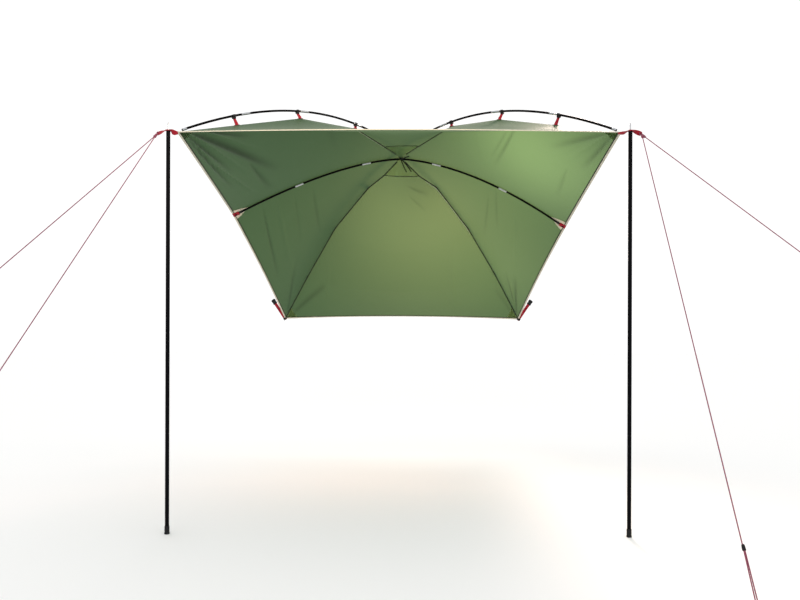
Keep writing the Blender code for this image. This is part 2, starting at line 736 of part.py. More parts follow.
def guy_line(side, reach, y_offset):
    """Top, eye and peg of one guy line, whose top end just clears the webbing loop."""
    centre, way = loop_frame(side)
    peg = np.array([MIDDLE_X + side * (POLE_SPACING / 2 + LOOP_REACH + reach), -PEG_DISTANCE, 0.0])
    eye = peg + UP * LOOP_HEIGHT
    tilt = np.linalg.norm(np.cross(unit(eye - centre), way))
    rim = LOOP_LENGTH + STRAP / 2 + LINE_RADIUS * tilt + GAP
    return centre + way * rim + np.array([0, y_offset, 0]), eye, peg


def make_ground_stays(materials):
    """Make the guy lines, each with its runner, and the pegs they end at."""
    for side in (-1, 1):
        for place, reach in zip(("side", "front"), PEG_REACH[side]):
            top, eye, peg = guy_line(side, reach, LINE_SPREAD[place])
            way = unit(eye - top)
            middle = top + (eye - top) * RUNNER_SHARE
            ends = [middle - way * RUNNER[0] / 2, middle + way * RUNNER[0] / 2]
            line = sweep(line_path(top, ends, eye, way), round_profile(LINE_RADIUS))
            runner = sweep(ends, flat_profile(RUNNER[1], RUNNER[2]))
            name = f"{SIDE_NAME[side]}_{place}"
            add_union("guy_line_" + name, [line, runner], materials["line"])
            shank = sweep(peg_path(peg, way), round_profile(PEG_RADIUS), reference=peg_side(way))
            add_mesh("peg_" + name, shank, materials["peg"])


def peg_side(way):
    """Level direction across a guy line."""
    plan = unit(way[:2])
    return np.array([-plan[1], plan[0], 0.0])


def line_path(top, runner_ends, eye, way):
    """Line through the runner, down to the peg, round its back and up into the runner again."""
    radius = PEG_RADIUS + LINE_RADIUS + GAP
    across = peg_side(way)
    plan = np.array([*unit(way[:2]), 0.0])
    above, below = runner_ends
    angles = np.linspace(0, math.pi, 7)
    bend = [eye + across * radius * math.cos(a) + plan * radius * math.sin(a) for a in angles]
    return np.array([top, above, below + across * radius, *bend, below - across * radius,
                     (above + below) / 2 - across * radius])


def peg_path(peg, way):
    """Upright shank from the ground, bent over away from the awning at its top."""
    plan = np.array([*unit(way[:2]), 0.0])
    centre = peg + UP * PEG_HEIGHT + plan * PEG_HOOK
    angles = np.radians(np.linspace(180, -10, 8))
    hook = [centre + plan * PEG_HOOK * math.cos(a) + UP * PEG_HOOK * math.sin(a) for a in angles]
    return np.array([peg, peg + UP * PEG_HEIGHT / 2] + hook)


def make_rear_straps(materials):
    """Make the straps and hooks that fasten the rear corners to the vehicle."""
    for side in (-1, 1):
        start = corner("rear", -side)
        way = unit(np.array(REAR_STRAP_WAY) * (side, 1, 1))
        low, high = start + way * STRAP_START, start + way * REAR_STRAP_LENGTH
        strap = sweep(np.linspace(low, high, 4), flat_profile(REAR_STRAP_WIDTH, STRAP))
        add_mesh("rear_strap_" + SIDE_NAME[side], strap, materials["webbing"])
        ends = [high + way * GAP, high + way * (GAP + REAR_HOOK[0])]
        hook = sweep(ends, flat_profile(REAR_HOOK[1], REAR_HOOK[2]))
        add_mesh("rear_hook_" + SIDE_NAME[side], hook, materials["plastic"])


def main():
    """Build the awning from the ground up."""
    for old in list(bpy.data.objects):
        bpy.data.objects.remove(old, do_unlink=True)
    materials = make_materials()
    make_front_poles(materials)
    make_corner_webbing(materials)
    make_canopy(make_panels(), materials)
    make_arch_poles(materials)
    make_side_pockets(materials)
    make_clips(materials)
    make_apex_tie(materials)
    make_ground_stays(materials)
    make_rear_straps(materials)


main()
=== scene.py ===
"""Looks of the awning tent: coated cloth on bent rods, two steel poles, guy lines and pegs.

Every piece is a surface of two parameters, worked out with numpy from the awning's middle lines.
Metres, +Z up, +Y from the open front to the rear, origin under the left pole, as in the frame.
"""

from __future__ import annotations

import logging
import math
from dataclasses import dataclass, field
from enum import Enum
from functools import partial
from typing import Callable, Sequence

import bmesh
import bpy
import numpy as np
from mathutils import Matrix

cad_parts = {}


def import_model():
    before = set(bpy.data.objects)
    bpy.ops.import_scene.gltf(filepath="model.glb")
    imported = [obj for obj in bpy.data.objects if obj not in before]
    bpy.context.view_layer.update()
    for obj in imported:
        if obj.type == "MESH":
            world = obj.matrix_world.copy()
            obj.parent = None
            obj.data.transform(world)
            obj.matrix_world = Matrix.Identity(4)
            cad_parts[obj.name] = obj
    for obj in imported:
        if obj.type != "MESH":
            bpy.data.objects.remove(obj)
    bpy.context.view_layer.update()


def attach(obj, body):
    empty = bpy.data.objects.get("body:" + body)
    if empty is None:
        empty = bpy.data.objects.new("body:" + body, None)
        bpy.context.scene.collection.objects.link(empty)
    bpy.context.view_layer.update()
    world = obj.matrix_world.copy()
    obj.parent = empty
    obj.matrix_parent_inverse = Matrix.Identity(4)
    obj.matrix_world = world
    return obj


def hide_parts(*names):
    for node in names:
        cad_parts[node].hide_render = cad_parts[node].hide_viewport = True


LOG = logging.getLogger("awning")

Array = np.ndarray
Curve = Callable[[Array], Array]
Point = tuple[float, float, float]
Piece = bpy.types.Object
Tree = bpy.types.NodeTree
Socket = bpy.types.NodeSocket

UP = np.array([0.0, 0.0, 1.0])
ACROSS = np.array([1.0, 0.0, 0.0])
BACK = np.array([0.0, 1.0, 0.0])
ROOT = "root"

# Shares of the way at which a line starts and ends
START, END = np.zeros(()), np.ones(())

# Play between pieces that touch, and the distance under which two points are one
HAIR = 0.0003
SAME_POINT = 2e-6

# Angles from which an edge is drawn sharp, on pieces and on the cloth
SHARP_ANGLE = math.radians(32)
CLOTH_SHARP_ANGLE = math.radians(16)

# Depth of a fold valley that gets the full painted shade, and the most painted shade that one gets
PAINTED_SHADE_FULL_DEPTH = 0.015
PAINTED_SHADE_MOST = 0.66

# Places of the colour sockets on a Mix node, and the width of one wave at scale 1
MIX_A, MIX_B, MIX_RESULT = 6, 7, 2
WAVE = 0.314


class Side(Enum):
    """The two sides of the awning, as seen from the open front."""

    LEFT = -1
    RIGHT = 1

    @property
    def word(self) -> str:
        """The side's name, as node names have it."""
        return self.name.lower()

    @property
    def other(self) -> Side:
        """The opposite side."""
        return Side(-self.value)

    def of(self, pair: Sequence) -> float | Sequence:
        """This side's entry of a (left, right) pair."""
        return pair[(self.value + 1) // 2]


class Half(Enum):
    """The part of the canopy before the apex and the part behind it."""

    FRONT = "front"
    REAR = "rear"


# Clips from the apex outwards, for the rods that start at the left and at the right: their shares
# of the way to the corner, and how far the seam hangs under the rod there
CLIP_SHARES = {Half.FRONT: ((0.245, 0.510, 0.777), (0.276, 0.508, 0.751)),
               Half.REAR: ((0.275, 0.532, 0.765), (0.251, 0.529, 0.781))}
CLIP_DROPS = {Half.FRONT: ((0.028, 0.042, 0.055), (0.027, 0.047, 0.060)),
              Half.REAR: ((0.024, 0.026, 0.030), (0.050, 0.030, 0.040))}

# The two panels that each seam joins, and whether it is the last of the panel's two lines
SEAMS = {"front_left": (("front", False), ("front_left", False)),
         "front_right": (("front_right", False), ("front", True)),
         "rear_left": (("rear_left", True), ("rear", False)),
         "rear_right": (("rear", True), ("rear_right", True))}

# Pale strips that paint a highlight beside a seam, and the span of the seam that each one covers
SEAM_HIGHLIGHT_SPANS = {"front_left": (0.10, 0.96), "rear": (0.18, 0.55)}

# Panels along each bound edge, and the panels in the order in which they go round the apex
EDGES = {"front": ("front",), "rear": ("rear",), "left": ("front_left", "rear_left"),
         "right": ("front_right", "rear_right")}
ROUND_APEX = ("front", "front_right", "rear_right", "rear", "rear_left", "front_left")

# Loose tape ends under the apex, as points from the middle of the rod under the cloth
TAPE_ENDS = {
    "near": ((0.002, -0.004, -0.002), (0.012, -0.012, -0.036), (0.038, -0.016, -0.088)),
    "far": ((0.006, -0.004, -0.002), (0.040, -0.010, -0.040), (0.070, -0.014, -0.086)),
    "side": ((0.002, -0.006, 0.000), (0.024, -0.014, 0.006), (0.056, -0.020, 0.016))}

# Guy lines: how far outside its pole each peg stands, and how far apart the lines' tops are
PEG_REACHES = {Side.LEFT: {"side": 1.570, "front": 0.680},
               Side.RIGHT: {"side": 1.920, "front": 0.0}}
LINE_SPREADS = {"side": 0.0035, "front": -0.0035}

# Outline of a rod's end cap, as radii and heights
CAP_PROFILE = ((0.0, 0.0), (0.0072, 0.0), (0.0078, 0.003), (0.0076, 0.020), (0.0062, 0.024),
               (0.0, 0.024))

# Outline of a swaged joint: how far outside the tube, and how far above the joint
SWAGE = ((0.0, -0.0030), (-0.0008, -0.0016), (-0.0008, 0.0), (0.0001, 0.0004), (0.0001, 0.0016),
         (0.0, 0.0024))


# ---- Numbers and surfaces

def unit(vector: Array) -> Array:
    """Scale vectors to length 1."""
    vector = np.asarray(vector, float)
    return vector / np.linalg.norm(vector, axis=-1, keepdims=True)


def ease(value: Array) -> Array:
    """Go smoothly from 0 at 0 to 1 at 1: three times the square less twice the cube."""
    t = np.clip(value, 0.0, 1.0)
    return t * t * (3 - 2 * t)


def axes(way: Array, reference: Array = UP) -> tuple[Array, Array, Array]:
    """Give a direction two more axes: one square to it and the reference, and one square to both.

    Args:
        way: The direction.
        reference: The reference direction, up where the second axis has to lie level.

    Returns:
        The three unit axes.
    """
    way = unit(way)
    level = unit(np.cross(way, reference))
    return way, level, np.cross(level, way)


def arms(way: Array, angles: Array) -> Array:
    """Unit arms that stand round a line at some angles."""
    way, level, above = axes(way, BACK if abs(unit(way)[1]) < 0.9 else ACROSS)
    return np.cos(angles)[:, None] * level - np.sin(angles)[:, None] * above


def between(places: Array, spots: Array, path: Array) -> Array:
    """Points of a path at some places, straight between the spots at which its own points are."""
    return np.stack([np.interp(places, spots, path[:, k]) for k in range(3)], axis=1)


def normals(grid: Array) -> Array:
    """Unit normals of a grid of points."""
    return unit(np.cross(np.gradient(grid, axis=0), np.gradient(grid, axis=1)))


def lowered(grid: Array, depth: float) -> Array:
    """Move a grid's points down along its normals."""
    normal = normals(grid)
    return grid + normal * np.where(normal[..., 2:] > 0, -depth, depth)


@dataclass
class Surface:
    """Points, faces and face-corner UVs of one or more joined surfaces."""

    points: Array
    faces: list[tuple[int, ...]]
    uvs: Array
    attributes: dict[str, Array] = field(default_factory=dict)


def grid_surface(grid: Array, along: Array | None = None, across: Array | None = None,
                 closed: bool = False, loop: bool = False, capped: bool = False) -> Surface:
    """Turn a grid of points into a surface: one quad for each cell.

    Args:
        grid: Points, (rows, columns, 3).
        along: U of each row, in metres where a pattern follows it.
        across: V of each column, one more than the columns where the grid is closed.
        closed: Whether the last column meets the first one.
        loop: Whether the last row meets the first one.
        capped: Whether the first and the last row are filled with a face.

    Returns:
        The surface.
    """
    rows, columns = grid.shape[:2]
    cells = np.meshgrid(np.arange(rows - (not loop)), np.arange(columns - (not closed)),
                        indexing="ij")
    i, j = (places.ravel() for places in cells)
    steps = ((0, 0), (0, 1), (1, 1), (1, 0))
    quads = np.stack([(i + a) % rows * columns + (j + b) % columns for a, b in steps], axis=1)
    u = np.append(along, 2 * along[-1] - along[-2]) if along is not None else (
        np.linspace(0, 1, rows + 1))
    v = np.append(across, across[-1]) if across is not None else np.linspace(0, 1, columns + 1)
    uvs = np.stack([np.stack([u[i + a], v[j + b]], axis=1) for a, b in steps], axis=1)
    uvs = uvs.reshape(-1, 2)
    faces = [tuple(face) for face in quads.tolist()]
    if capped:
        faces += [tuple(range(columns)), tuple(range((rows - 1) * columns, rows * columns))]
        uvs = np.concatenate([uvs, np.zeros((2 * columns, 2))])
    return Surface(grid.reshape(-1, 3), faces, uvs)


def join(surfaces: Sequence[Surface]) -> Surface:
    """Put several surfaces into one, each with its own points.

    Args:
        surfaces: The surfaces, all with the same attributes.

    Returns:
        One surface that holds them all.
    """
    faces, start = [], 0
    for surface in surfaces:
        faces += [tuple(i + start for i in face) for face in surface.faces]
        start += len(surface.points)
    names = surfaces[0].attributes
    return Surface(np.concatenate([s.points for s in surfaces]), faces,
                   np.concatenate([s.uvs for s in surfaces]),
                   {n: np.concatenate([s.attributes[n] for s in surfaces]) for n in names})


def lengths_along(path: Array) -> Array:
    """Length of a path up to each of its points."""
    return np.concatenate([[0.0], np.cumsum(np.linalg.norm(np.diff(path, axis=0), axis=1))])


def even_path(curve: Curve, start: float, end: float, count: int) -> Array:
    """Points at even distances along a curve.

    Args:
        curve: The curve, from parameters to points.
        start: Its first parameter.
        end: Its last one.
        count: How many points.

    Returns:
        The points, (count, 3).
    """
    places = np.linspace(start, end, 600)
    lengths = lengths_along(curve(places))
    return curve(np.interp(np.linspace(0, lengths[-1], count), lengths, places))


def bent_path(corners: Sequence[Array], count: int, rounds: int) -> Array:
    """Path through corner points with eased bends: points are averaged with their neighbours.

    Args:
        corners: The corner points.
        count: How many points the path gets.
        rounds: How often it is averaged.

    Returns:
        The points, (count, 3).
    """
    corners = np.asarray(corners, float)
    lengths = lengths_along(corners)
    path = between(np.linspace(0, lengths[-1], count), lengths, corners)
    for _ in range(rounds):
        path[1:-1] = path[1:-1] * 0.5 + (path[2:] + path[:-2]) * 0.25
    return path


def ring_profile(radius: float, sides: int) -> Array:
    """Points of a circle."""
    turn = 2 * np.pi * np.arange(sides) / sides
    return radius * np.stack([np.cos(turn), np.sin(turn)], axis=1)


def band_profile(width: float, thickness: float, sides: int, squareness: float) -> Array:
    """Points of a flat band's section: an oval whose cosine and sine are raised to a low power.

    Args:
        width: Width of the band.
        thickness: Its thickness.
        sides: How many points.
        squareness: The power, 1 for an ellipse and near 0 for a rectangle.

    Returns:
        The points, (sides, 2).
    """
    turn = 2 * np.pi * (np.arange(sides) + 0.5) / sides
    oval = np.stack([np.cos(turn), np.sin(turn)], axis=1)
    return np.sign(oval) * np.abs(oval) ** squareness * (width / 2, thickness / 2)


def sized(profile: Array, widths: Array, thicknesses: Array) -> Array:
    """One profile for each point of a path, each with its own width and thickness."""
    return profile * np.stack(np.broadcast_arrays(widths, thicknesses), axis=1)[:, None]


def rolled(profile: Array, degrees: Array) -> Array:
    """Turn a profile in its own plane, by one angle for each point of its path.

    Args:
        profile: The profile, (columns, 2).
        degrees: The angles.

    Returns:
        The profiles, (rows, columns, 2).
    """
    turn = np.radians(degrees)[:, None]
    x, y = profile.T[:, None]
    return np.stack([x * np.cos(turn) - y * np.sin(turn), x * np.sin(turn) + y * np.cos(turn)],
                    axis=-1)


def carried(path: Array, profile: Array, reference: Array = UP, loop: bool = False,
            scales: Array | float = 1.0, way: Array | None = None) -> Surface:
    """Carry a closed profile along a path, with its second axis kept near a reference direction.

    A point is the path's point, plus the profile's x along the level axis, plus its y along the
    axis that stands on both that one and the path.

    Args:
        path: Points of the path.
        profile: The profile, (columns, 2), or one for each point, (rows, columns, 2).
        reference: The direction, or one for each point of the path.
        loop: Whether the path closes.
        scales: Size of the profile at each point.
        way: Directions of the path, where its own points don't give them.

    Returns:
        The surface, capped where the path is open.
    """
    if way is None:
        way = np.roll(path, -1, 0) - np.roll(path, 1, 0) if loop else np.gradient(path, axis=0)
    _, level, above = axes(way, reference)
    rows, columns = len(path), profile.shape[-2]
    points = np.broadcast_to(profile, (rows, columns, 2)) * (scales * np.ones(rows))[:, None, None]
    grid = path[:, None] + points[..., :1] * level[:, None] + points[..., 1:] * above[:, None]
    return grid_surface(grid, lengths_along(path), np.linspace(0, 1, columns + 1), closed=True,
                        loop=loop, capped=not loop)


def slab(grid: Array, thickness: float) -> Surface:
    """Give a grid a thickness along its own normals, as one closed band round each row.

    Args:
        grid: Points of the middle surface, (rows, columns, 3).
        thickness: The thickness.

    Returns:
        The closed surface, with V from 0 to 1 across each face.
    """
    offset = normals(grid) * thickness / 2
    bands = np.concatenate([grid + offset, (grid - offset)[:, ::-1]], axis=1)
    across = np.linspace(0, 1, grid.shape[1])
    return grid_surface(bands, lengths_along(grid[:, grid.shape[1] // 2]),
                        np.concatenate([across, across[::-1], across[:1]]), closed=True,
                        capped=True)


def turned(profile: Sequence[tuple[float, float]], base: Array, way: Array = UP,
           sides: int = 32) -> Surface:
    """Turn a (radius, height) profile about the line from base along way.

    Args:
        profile: Radii and heights, closed by the axis at both ends.
        base: Point on the axis at height 0.
        way: Direction of the axis.
        sides: How many points round it.

    Returns:
        The surface.
    """
    radius, height = np.array(profile, float).T
    out = arms(way, 2 * np.pi * np.arange(sides) / sides)
    grid = base + radius[:, None, None] * out + height[:, None, None] * unit(way)
    return grid_surface(grid, height, np.linspace(0, 1, sides + 1), closed=True)


def helix(base: Array, way: Array, radius: float, pitch: float, turns: float, count: int) -> Array:
    """Path that winds round a line: a circle whose height grows evenly.

    Args:
        base: Where the line starts.
        way: Its direction.
        radius: Radius of the turns.
        pitch: Rise of one turn.
        turns: How many turns.
        count: How many points.

    Returns:
        The points, (count, 3).
    """
    angles = np.linspace(0, 2 * np.pi * turns, count)
    rise = angles[:, None] / (2 * np.pi) * pitch
    return base + radius * arms(way, angles) + unit(way) * rise


def add_piece(name: str, surface: Surface, finish: Finish, replaces: Sequence[str] = (),
              sharp: float = SHARP_ANGLE) -> Piece:
    """Make one piece of the object from a surface, and let it ride on the awning.

    Args:
        name: Name of the piece.
        surface: Its surface.
        finish: What it is made of.
        replaces: The CAD nodes that it stands for.
        sharp: Angle from which an edge is drawn sharp.

    Returns:
        The piece's object.
    """
    mesh = bpy.data.meshes.new(name)
    mesh.from_pydata(surface.points.tolist(), [], surface.faces)
    layer = mesh.uv_layers.new(name="UVMap")
    layer.data.foreach_set("uv", surface.uvs.astype(np.float32).ravel())
    for label, values in surface.attributes.items():
        mesh.attributes.new(label, "FLOAT", "POINT").data.foreach_set("value", values.ravel())
    work = bmesh.new()
    work.from_mesh(mesh)
    bmesh.ops.remove_doubles(work, verts=work.verts, dist=SAME_POINT)
    bmesh.ops.recalc_face_normals(work, faces=work.faces)
    work.to_mesh(mesh)
    work.free()
    mesh.shade_smooth()
    mesh.set_sharp_from_angle(angle=sharp)
    mesh.materials.append(finish.made())
    piece = bpy.data.objects.new(name, mesh)
    bpy.context.scene.collection.objects.link(piece)
    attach(piece, ROOT)
    if replaces:
        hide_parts(*replaces)
    LOG.info("%s: %d faces", name, len(mesh.polygons))
    return piece


# ---- Finishes

def linear(hex_colour: str) -> tuple[float, float, float, float]:
    """Turn an sRGB hex colour into linear RGBA."""
    parts = [int(hex_colour[i:i + 2], 16) / 255 for i in (0, 2, 4)]
    return (*(p / 12.92 if p <= 0.04045 else ((p + 0.055) / 1.055) ** 2.4 for p in parts), 1.0)


def feed(node: bpy.types.Node, inputs: dict[str | int, object]) -> None:
    """Set a node's sockets to values, or link them to other sockets.

    Args:
        node: The node.
        inputs: Values or links, by name or number of the socket.
    """
    for name, value in inputs.items():
        if isinstance(value, Socket):
            node.id_data.links.new(value, node.inputs[name])
        else:
            node.inputs[name].default_value = value


def add_node(tree: Tree, kind: str, inputs: dict[str | int, object], out: str | int = 0,
             **settings: object) -> Socket:
    """Add one node to a tree.

    Args:
        tree: The tree.
        kind: The node's type, without its leading ShaderNode.
        inputs: Values or links of its sockets, by name or number.
        out: The output that is wanted, by name or number.
        settings: Its own properties.

    Returns:
        The output socket.
    """
    node = tree.nodes.new("ShaderNode" + kind)
    for name, value in settings.items():
        setattr(node, name, value)
    feed(node, inputs)
    return node.outputs[out]


@dataclass(frozen=True)
class Finish:
    """What every finish has: its name, the record's slot and how much light comes through."""

    name: str
    slot: str
    glow_share: float = 0.0

    def made(self) -> bpy.types.Material:
        """The finish's material, made once."""
        return bpy.data.materials.get(self.name) or self.make()

    def make(self) -> bpy.types.Material:
        """Build the material from its sockets, over a translucent base where light comes through.

        Returns:
            The material.
        """
        material = bpy.data.materials.new(self.name)
        material.use_nodes = True
        tree = material.node_tree
        shader = tree.nodes["Principled BSDF"]
        surface, glow = self.sockets(tree)
        feed(shader, surface)
        if self.glow_share:
            through = add_node(tree, "BsdfTranslucent", glow)
            mixed = add_node(tree, "MixShader", {0: self.glow_share, 1: shader.outputs[0],
                                                 2: through})
            feed(tree.nodes["Material Output"], {"Surface": mixed})
        return material

    def sockets(self, tree: Tree) -> tuple[dict, dict]:
        """What feeds the surface shader and what feeds the translucent one."""
        raise NotImplementedError


@dataclass(frozen=True)
class CoatedCloth(Finish):
    """Polyester taffeta with a thin coating: dull and faintly mottled, it glows against the light.

    The real thread spacing of 0.25 mm doesn't show from metres away, so the weave is drawn ten
    times coarser. Seams pull the cloth into small ripples about 22 mm apart, which fade 20 mm into
    the panel. In the valleys of its folds shade is painted into the cloth: its colour and its glow
    are mixed towards a dark green there, as far as the folds' depth gives.
    """

    glow_share: float = 0.20
    dark: str = "233f27"
    light: str = "29462c"
    glow: str = "6f915e"
    # Painted shade: the colour towards which the cloth's colour and glow are mixed in fold valleys
    valley: str = "16240f"
    creased: bool = False
    thread: float = 0.0025
    ripple: float = 0.022
    ripple_reach: float = 0.020
    bumps: tuple[tuple[float, float], ...] = ((0.10, 0.0004), (0.20, 0.006), (0.55, 0.0012))

    def sockets(self, tree: Tree) -> tuple[dict, dict]:
        """Mottled colour with painted shade in the fold valleys, and weave, crumpling and seam
        ripples as bump.

        Args:
            tree: The material's node tree.

        Returns:
            Inputs of the surface shader and of the translucent one.
        """
        place, weft = (add_node(tree, "TexCoord", {}, name) for name in ("Object", "UV"))
        cloud = add_node(tree, "TexNoise", {"Vector": place, "Scale": 2.6, "Detail": 4.0,
                                            "Roughness": 0.6})
        tone = add_node(tree, "Mix", {0: cloud, MIX_A: linear(self.dark),
                                      MIX_B: linear(self.light)}, MIX_RESULT, data_type="RGBA")
        glow = linear(self.glow)
        # Painted shade in fold valleys: colour and glow are mixed towards the dark green by the
        # valley attribute
        if self.creased:
            folds = add_node(tree, "Attribute", {}, "Fac", attribute_name="valley")
            tone, glow = (add_node(tree, "Mix", {0: folds, MIX_A: base,
                                                 MIX_B: linear(self.valley)},
                                   MIX_RESULT, data_type="RGBA") for base in (tone, glow))
        waves = [add_node(tree, "TexWave", {"Vector": weft, "Scale": WAVE / self.thread,
                                            "Distortion": 0.3}, "Fac", bands_direction=axis)
                 for axis in "XY"]
        weave = add_node(tree, "Math", dict(enumerate(waves)), operation="MULTIPLY")
        crumple = add_node(tree, "TexNoise", {"Vector": place, "Scale": 7.0, "Detail": 3.0,
                                              "Distortion": 0.8})
        normal = {}
        for (strength, distance), height in zip(self.bumps, (weave, crumple,
                                                             self.ripples(tree, place))):
            normal = {"Normal": add_node(tree, "Bump", {"Strength": strength, "Height": height,
                                                        "Distance": distance, **normal})}
        return {"Roughness": 0.55, "Specular IOR Level": 0.22, "Sheen Weight": 0.08,
                "Base Color": tone, **normal}, {"Color": glow, **normal}

    def ripples(self, tree: Tree, place: Socket) -> Socket:
        """Sine of the way along the seam, times e to the power of minus the distance from it.

        Args:
            tree: The material's node tree.
            place: Object coordinates, which make the ripples uneven.

        Returns:
            The socket with the ripples' height.
        """
        along, border = (add_node(tree, "Attribute", {}, "Fac", attribute_name=name)
                         for name in ("along", "border"))
        uneven = add_node(tree, "TexNoise", {"Vector": place, "Scale": 5.0})
        shift = add_node(tree, "Math", {0: uneven, 1: 9.0}, operation="MULTIPLY")
        angle = add_node(tree, "Math", {0: along, 1: 2 * math.pi / self.ripple, 2: shift},
                         operation="MULTIPLY_ADD")
        wave = add_node(tree, "Math", {0: angle}, operation="SINE")
        depth = add_node(tree, "Math", {0: border, 1: -1 / self.ripple_reach},
                         operation="MULTIPLY")
        fade = add_node(tree, "Math", {0: depth}, operation="EXPONENT")
        return add_node(tree, "Math", {0: wave, 1: fade}, operation="MULTIPLY")


@dataclass(frozen=True)
class WovenBand(Finish):
    """Flat woven webbing or tape: ribs across it and two rows of stitches.

    U runs along the band in metres and V from 0 to 1 across each face.
    """

    colour: str = "c4202f"
    groove: str = "8a1420"
    thread: str = "a01a26"
    rib: float = 0.0016
    stitch: float = 0.0030
    stitch_gap: float = 0.36
    stitch_place: float = 0.14
    stitch_width: float = 0.035

    def sockets(self, tree: Tree) -> tuple[dict, dict]:
        """Ribs as colour and bump, and stitches as short raised dashes.

        Args:
            tree: The material's node tree.

        Returns:
            Inputs of the surface shader and of the translucent one.
        """
        place = add_node(tree, "TexCoord", {}, "UV")
        along, across = (add_node(tree, "SeparateXYZ", {0: place}, axis) for axis in "XY")
        ribs = add_node(tree, "TexWave", {"Vector": place, "Scale": WAVE / self.rib,
                                          "Distortion": 0.6, "Detail": 1.0},
                        "Fac", bands_direction="X")
        base = add_node(tree, "Mix", {0: ribs, MIX_A: linear(self.groove),
                                      MIX_B: linear(self.colour)}, MIX_RESULT, data_type="RGBA")
        edge = add_node(tree, "Math", {0: across, 1: 0.5}, operation="PINGPONG")
        row = add_node(tree, "Math", {0: edge, 1: self.stitch_place, 2: self.stitch_width},
                       operation="COMPARE")
        dash = add_node(tree, "Math", {0: along, 1: self.stitch}, operation="PINGPONG")
        dashed = add_node(tree, "Math", {0: dash, 1: self.stitch * self.stitch_gap},
                          operation="GREATER_THAN")
        sewn = add_node(tree, "Math", {0: row, 1: dashed}, operation="MULTIPLY")
        tone = add_node(tree, "Mix", {0: sewn, MIX_A: base, MIX_B: linear(self.thread)},
                        MIX_RESULT, data_type="RGBA")
        height = add_node(tree, "Math", {0: sewn, 1: 0.8, 2: ribs}, operation="MULTIPLY_ADD")
        bump = add_node(tree, "Bump", {"Strength": 0.5, "Distance": 0.0004, "Height": height})
        return {"Roughness": 0.78, "Specular IOR Level": 0.20, "Sheen Weight": 0.12,
                "Base Color": tone, "Normal": bump}, {"Color": linear(self.colour)}


@dataclass(frozen=True)
class HardSurface(Finish):
    """Hard finish in two tones: cloudy patches in its colour, and a fine grain in its gloss."""

    colour: str = "808080"
    worn: str = "909090"
    rough: float = 0.40
    gloss_spread: tuple[float, float] = (-0.06, 0.06)
    grain: float = 0.001
    grain_detail: float = 1.0
    grainy_gloss: bool = True
    bump: float = 0.0
    patches: tuple[float, float] = (14.0, 3.0)
    patch_range: Point | None = None
    base: tuple[tuple[str, float], ...] = ()

    def sockets(self, tree: Tree) -> tuple[dict, dict]:
        """Patches as colour, and grain as uneven gloss and bump.

        Args:
            tree: The material's node tree.

        Returns:
            Inputs of the surface shader, and nothing for a translucent one.
        """
        place = add_node(tree, "TexCoord", {}, "Object")
        scale, detail = self.patches
        patches = add_node(tree, "TexNoise", {"Vector": place, "Scale": scale, "Detail": detail})
        share = patches
        if self.patch_range:
            low, high, most = self.patch_range
            share = add_node(tree, "MapRange", {"Value": patches, "From Min": low,
                                                "From Max": high, "To Max": most})
        tone = add_node(tree, "Mix", {0: share, MIX_A: linear(self.colour),
                                      MIX_B: linear(self.worn)}, MIX_RESULT, data_type="RGBA")
        grain = add_node(tree, "TexNoise", {"Vector": place, "Scale": 1 / self.grain,
                                            "Detail": self.grain_detail})
        low, high = (self.rough + spread for spread in self.gloss_spread)
        gloss = add_node(tree, "MapRange", {"Value": grain if self.grainy_gloss else patches,
                                            "To Min": low, "To Max": high})
        surface = {**dict(self.base), "Base Color": tone, "Roughness": gloss}
        if self.bump:
            surface["Normal"] = add_node(tree, "Bump", {"Strength": self.bump, "Height": grain,
                                                        "Distance": 0.0001})
        return surface, {}


@dataclass(frozen=True)
class CoatedTube(HardSurface):
    """Smooth coat on a tube or rod, such as powder on steel or resin on glass fibre.

    Powder flows into a faint orange peel a millimetre or two wide, which shows as uneven gloss.
    Rubbed places are a little brighter.
    """

    grain: float = 0.0016
    patch_range: Point | None = (0.50, 0.80, 0.4)


@dataclass(frozen=True)
class BareMetal(HardSurface):
    """Drawn aluminium or galvanised wire: a clean grey metal with fine marks and dull patches."""

    colour: str = "c9ccd0"
    worn: str = "9a9da1"
    rough: float = 0.28
    gloss_spread: tuple[float, float] = (-0.08, 0.12)
    grain: float = 0.0006
    grain_detail: float = 2.0
    bump: float = 0.12
    patches: tuple[float, float] = (60.0, 4.0)
    base: tuple[tuple[str, float], ...] = (("Metallic", 1.0),)


@dataclass(frozen=True)
class MouldedPlastic(HardSurface):
    """Injection-moulded nylon: dark, with the fine spark-eroded grain of its mould."""

    colour: str = "0b0b0d"
    worn: str = "1a1a1d"
    rough: float = 0.48
    gloss_spread: tuple[float, float] = (-0.08, 0.10)
    grain: float = 0.0007
    grain_detail: float = 0.0
    grainy_gloss: bool = False
    bump: float = 0.25
    patches: tuple[float, float] = (70.0, 3.0)
    base: tuple[tuple[str, float], ...] = (("Specular IOR Level", 0.22),)


@dataclass(frozen=True)
class BraidedCord(Finish):
    """Braided polyester cord: strands lie slanting round it, with darker grooves between them.

    U runs along the cord in metres and V once round it. The real strands are 0.8 mm wide; they are
    drawn 2 mm wide so that they show.
    """

    colour: str = "9a4a60"
    groove: str = "743046"
    strand: float = 0.002

    def sockets(self, tree: Tree) -> tuple[dict, dict]:
        """Slanting strands as colour and bump.

        Args:
            tree: The material's node tree.

        Returns:
            Inputs of the surface shader, and nothing for a translucent one.
        """
        place = add_node(tree, "TexCoord", {}, "UV")
        slanted = add_node(tree, "Mapping", {"Vector": place, "Scale": (1.0, self.strand, 1.0)})
        strands = add_node(tree, "TexWave", {"Vector": slanted, "Scale": WAVE / self.strand},
                           "Fac", bands_direction="DIAGONAL")
        tone = add_node(tree, "Mix", {0: strands, MIX_A: linear(self.groove),
                                      MIX_B: linear(self.colour)}, MIX_RESULT, data_type="RGBA")
        bump = add_node(tree, "Bump", {"Strength": 0.6, "Distance": 0.0004, "Height": strands})
        return {"Roughness": 0.8, "Sheen Weight": 0.2, "Base Color": tone, "Normal": bump}, {}


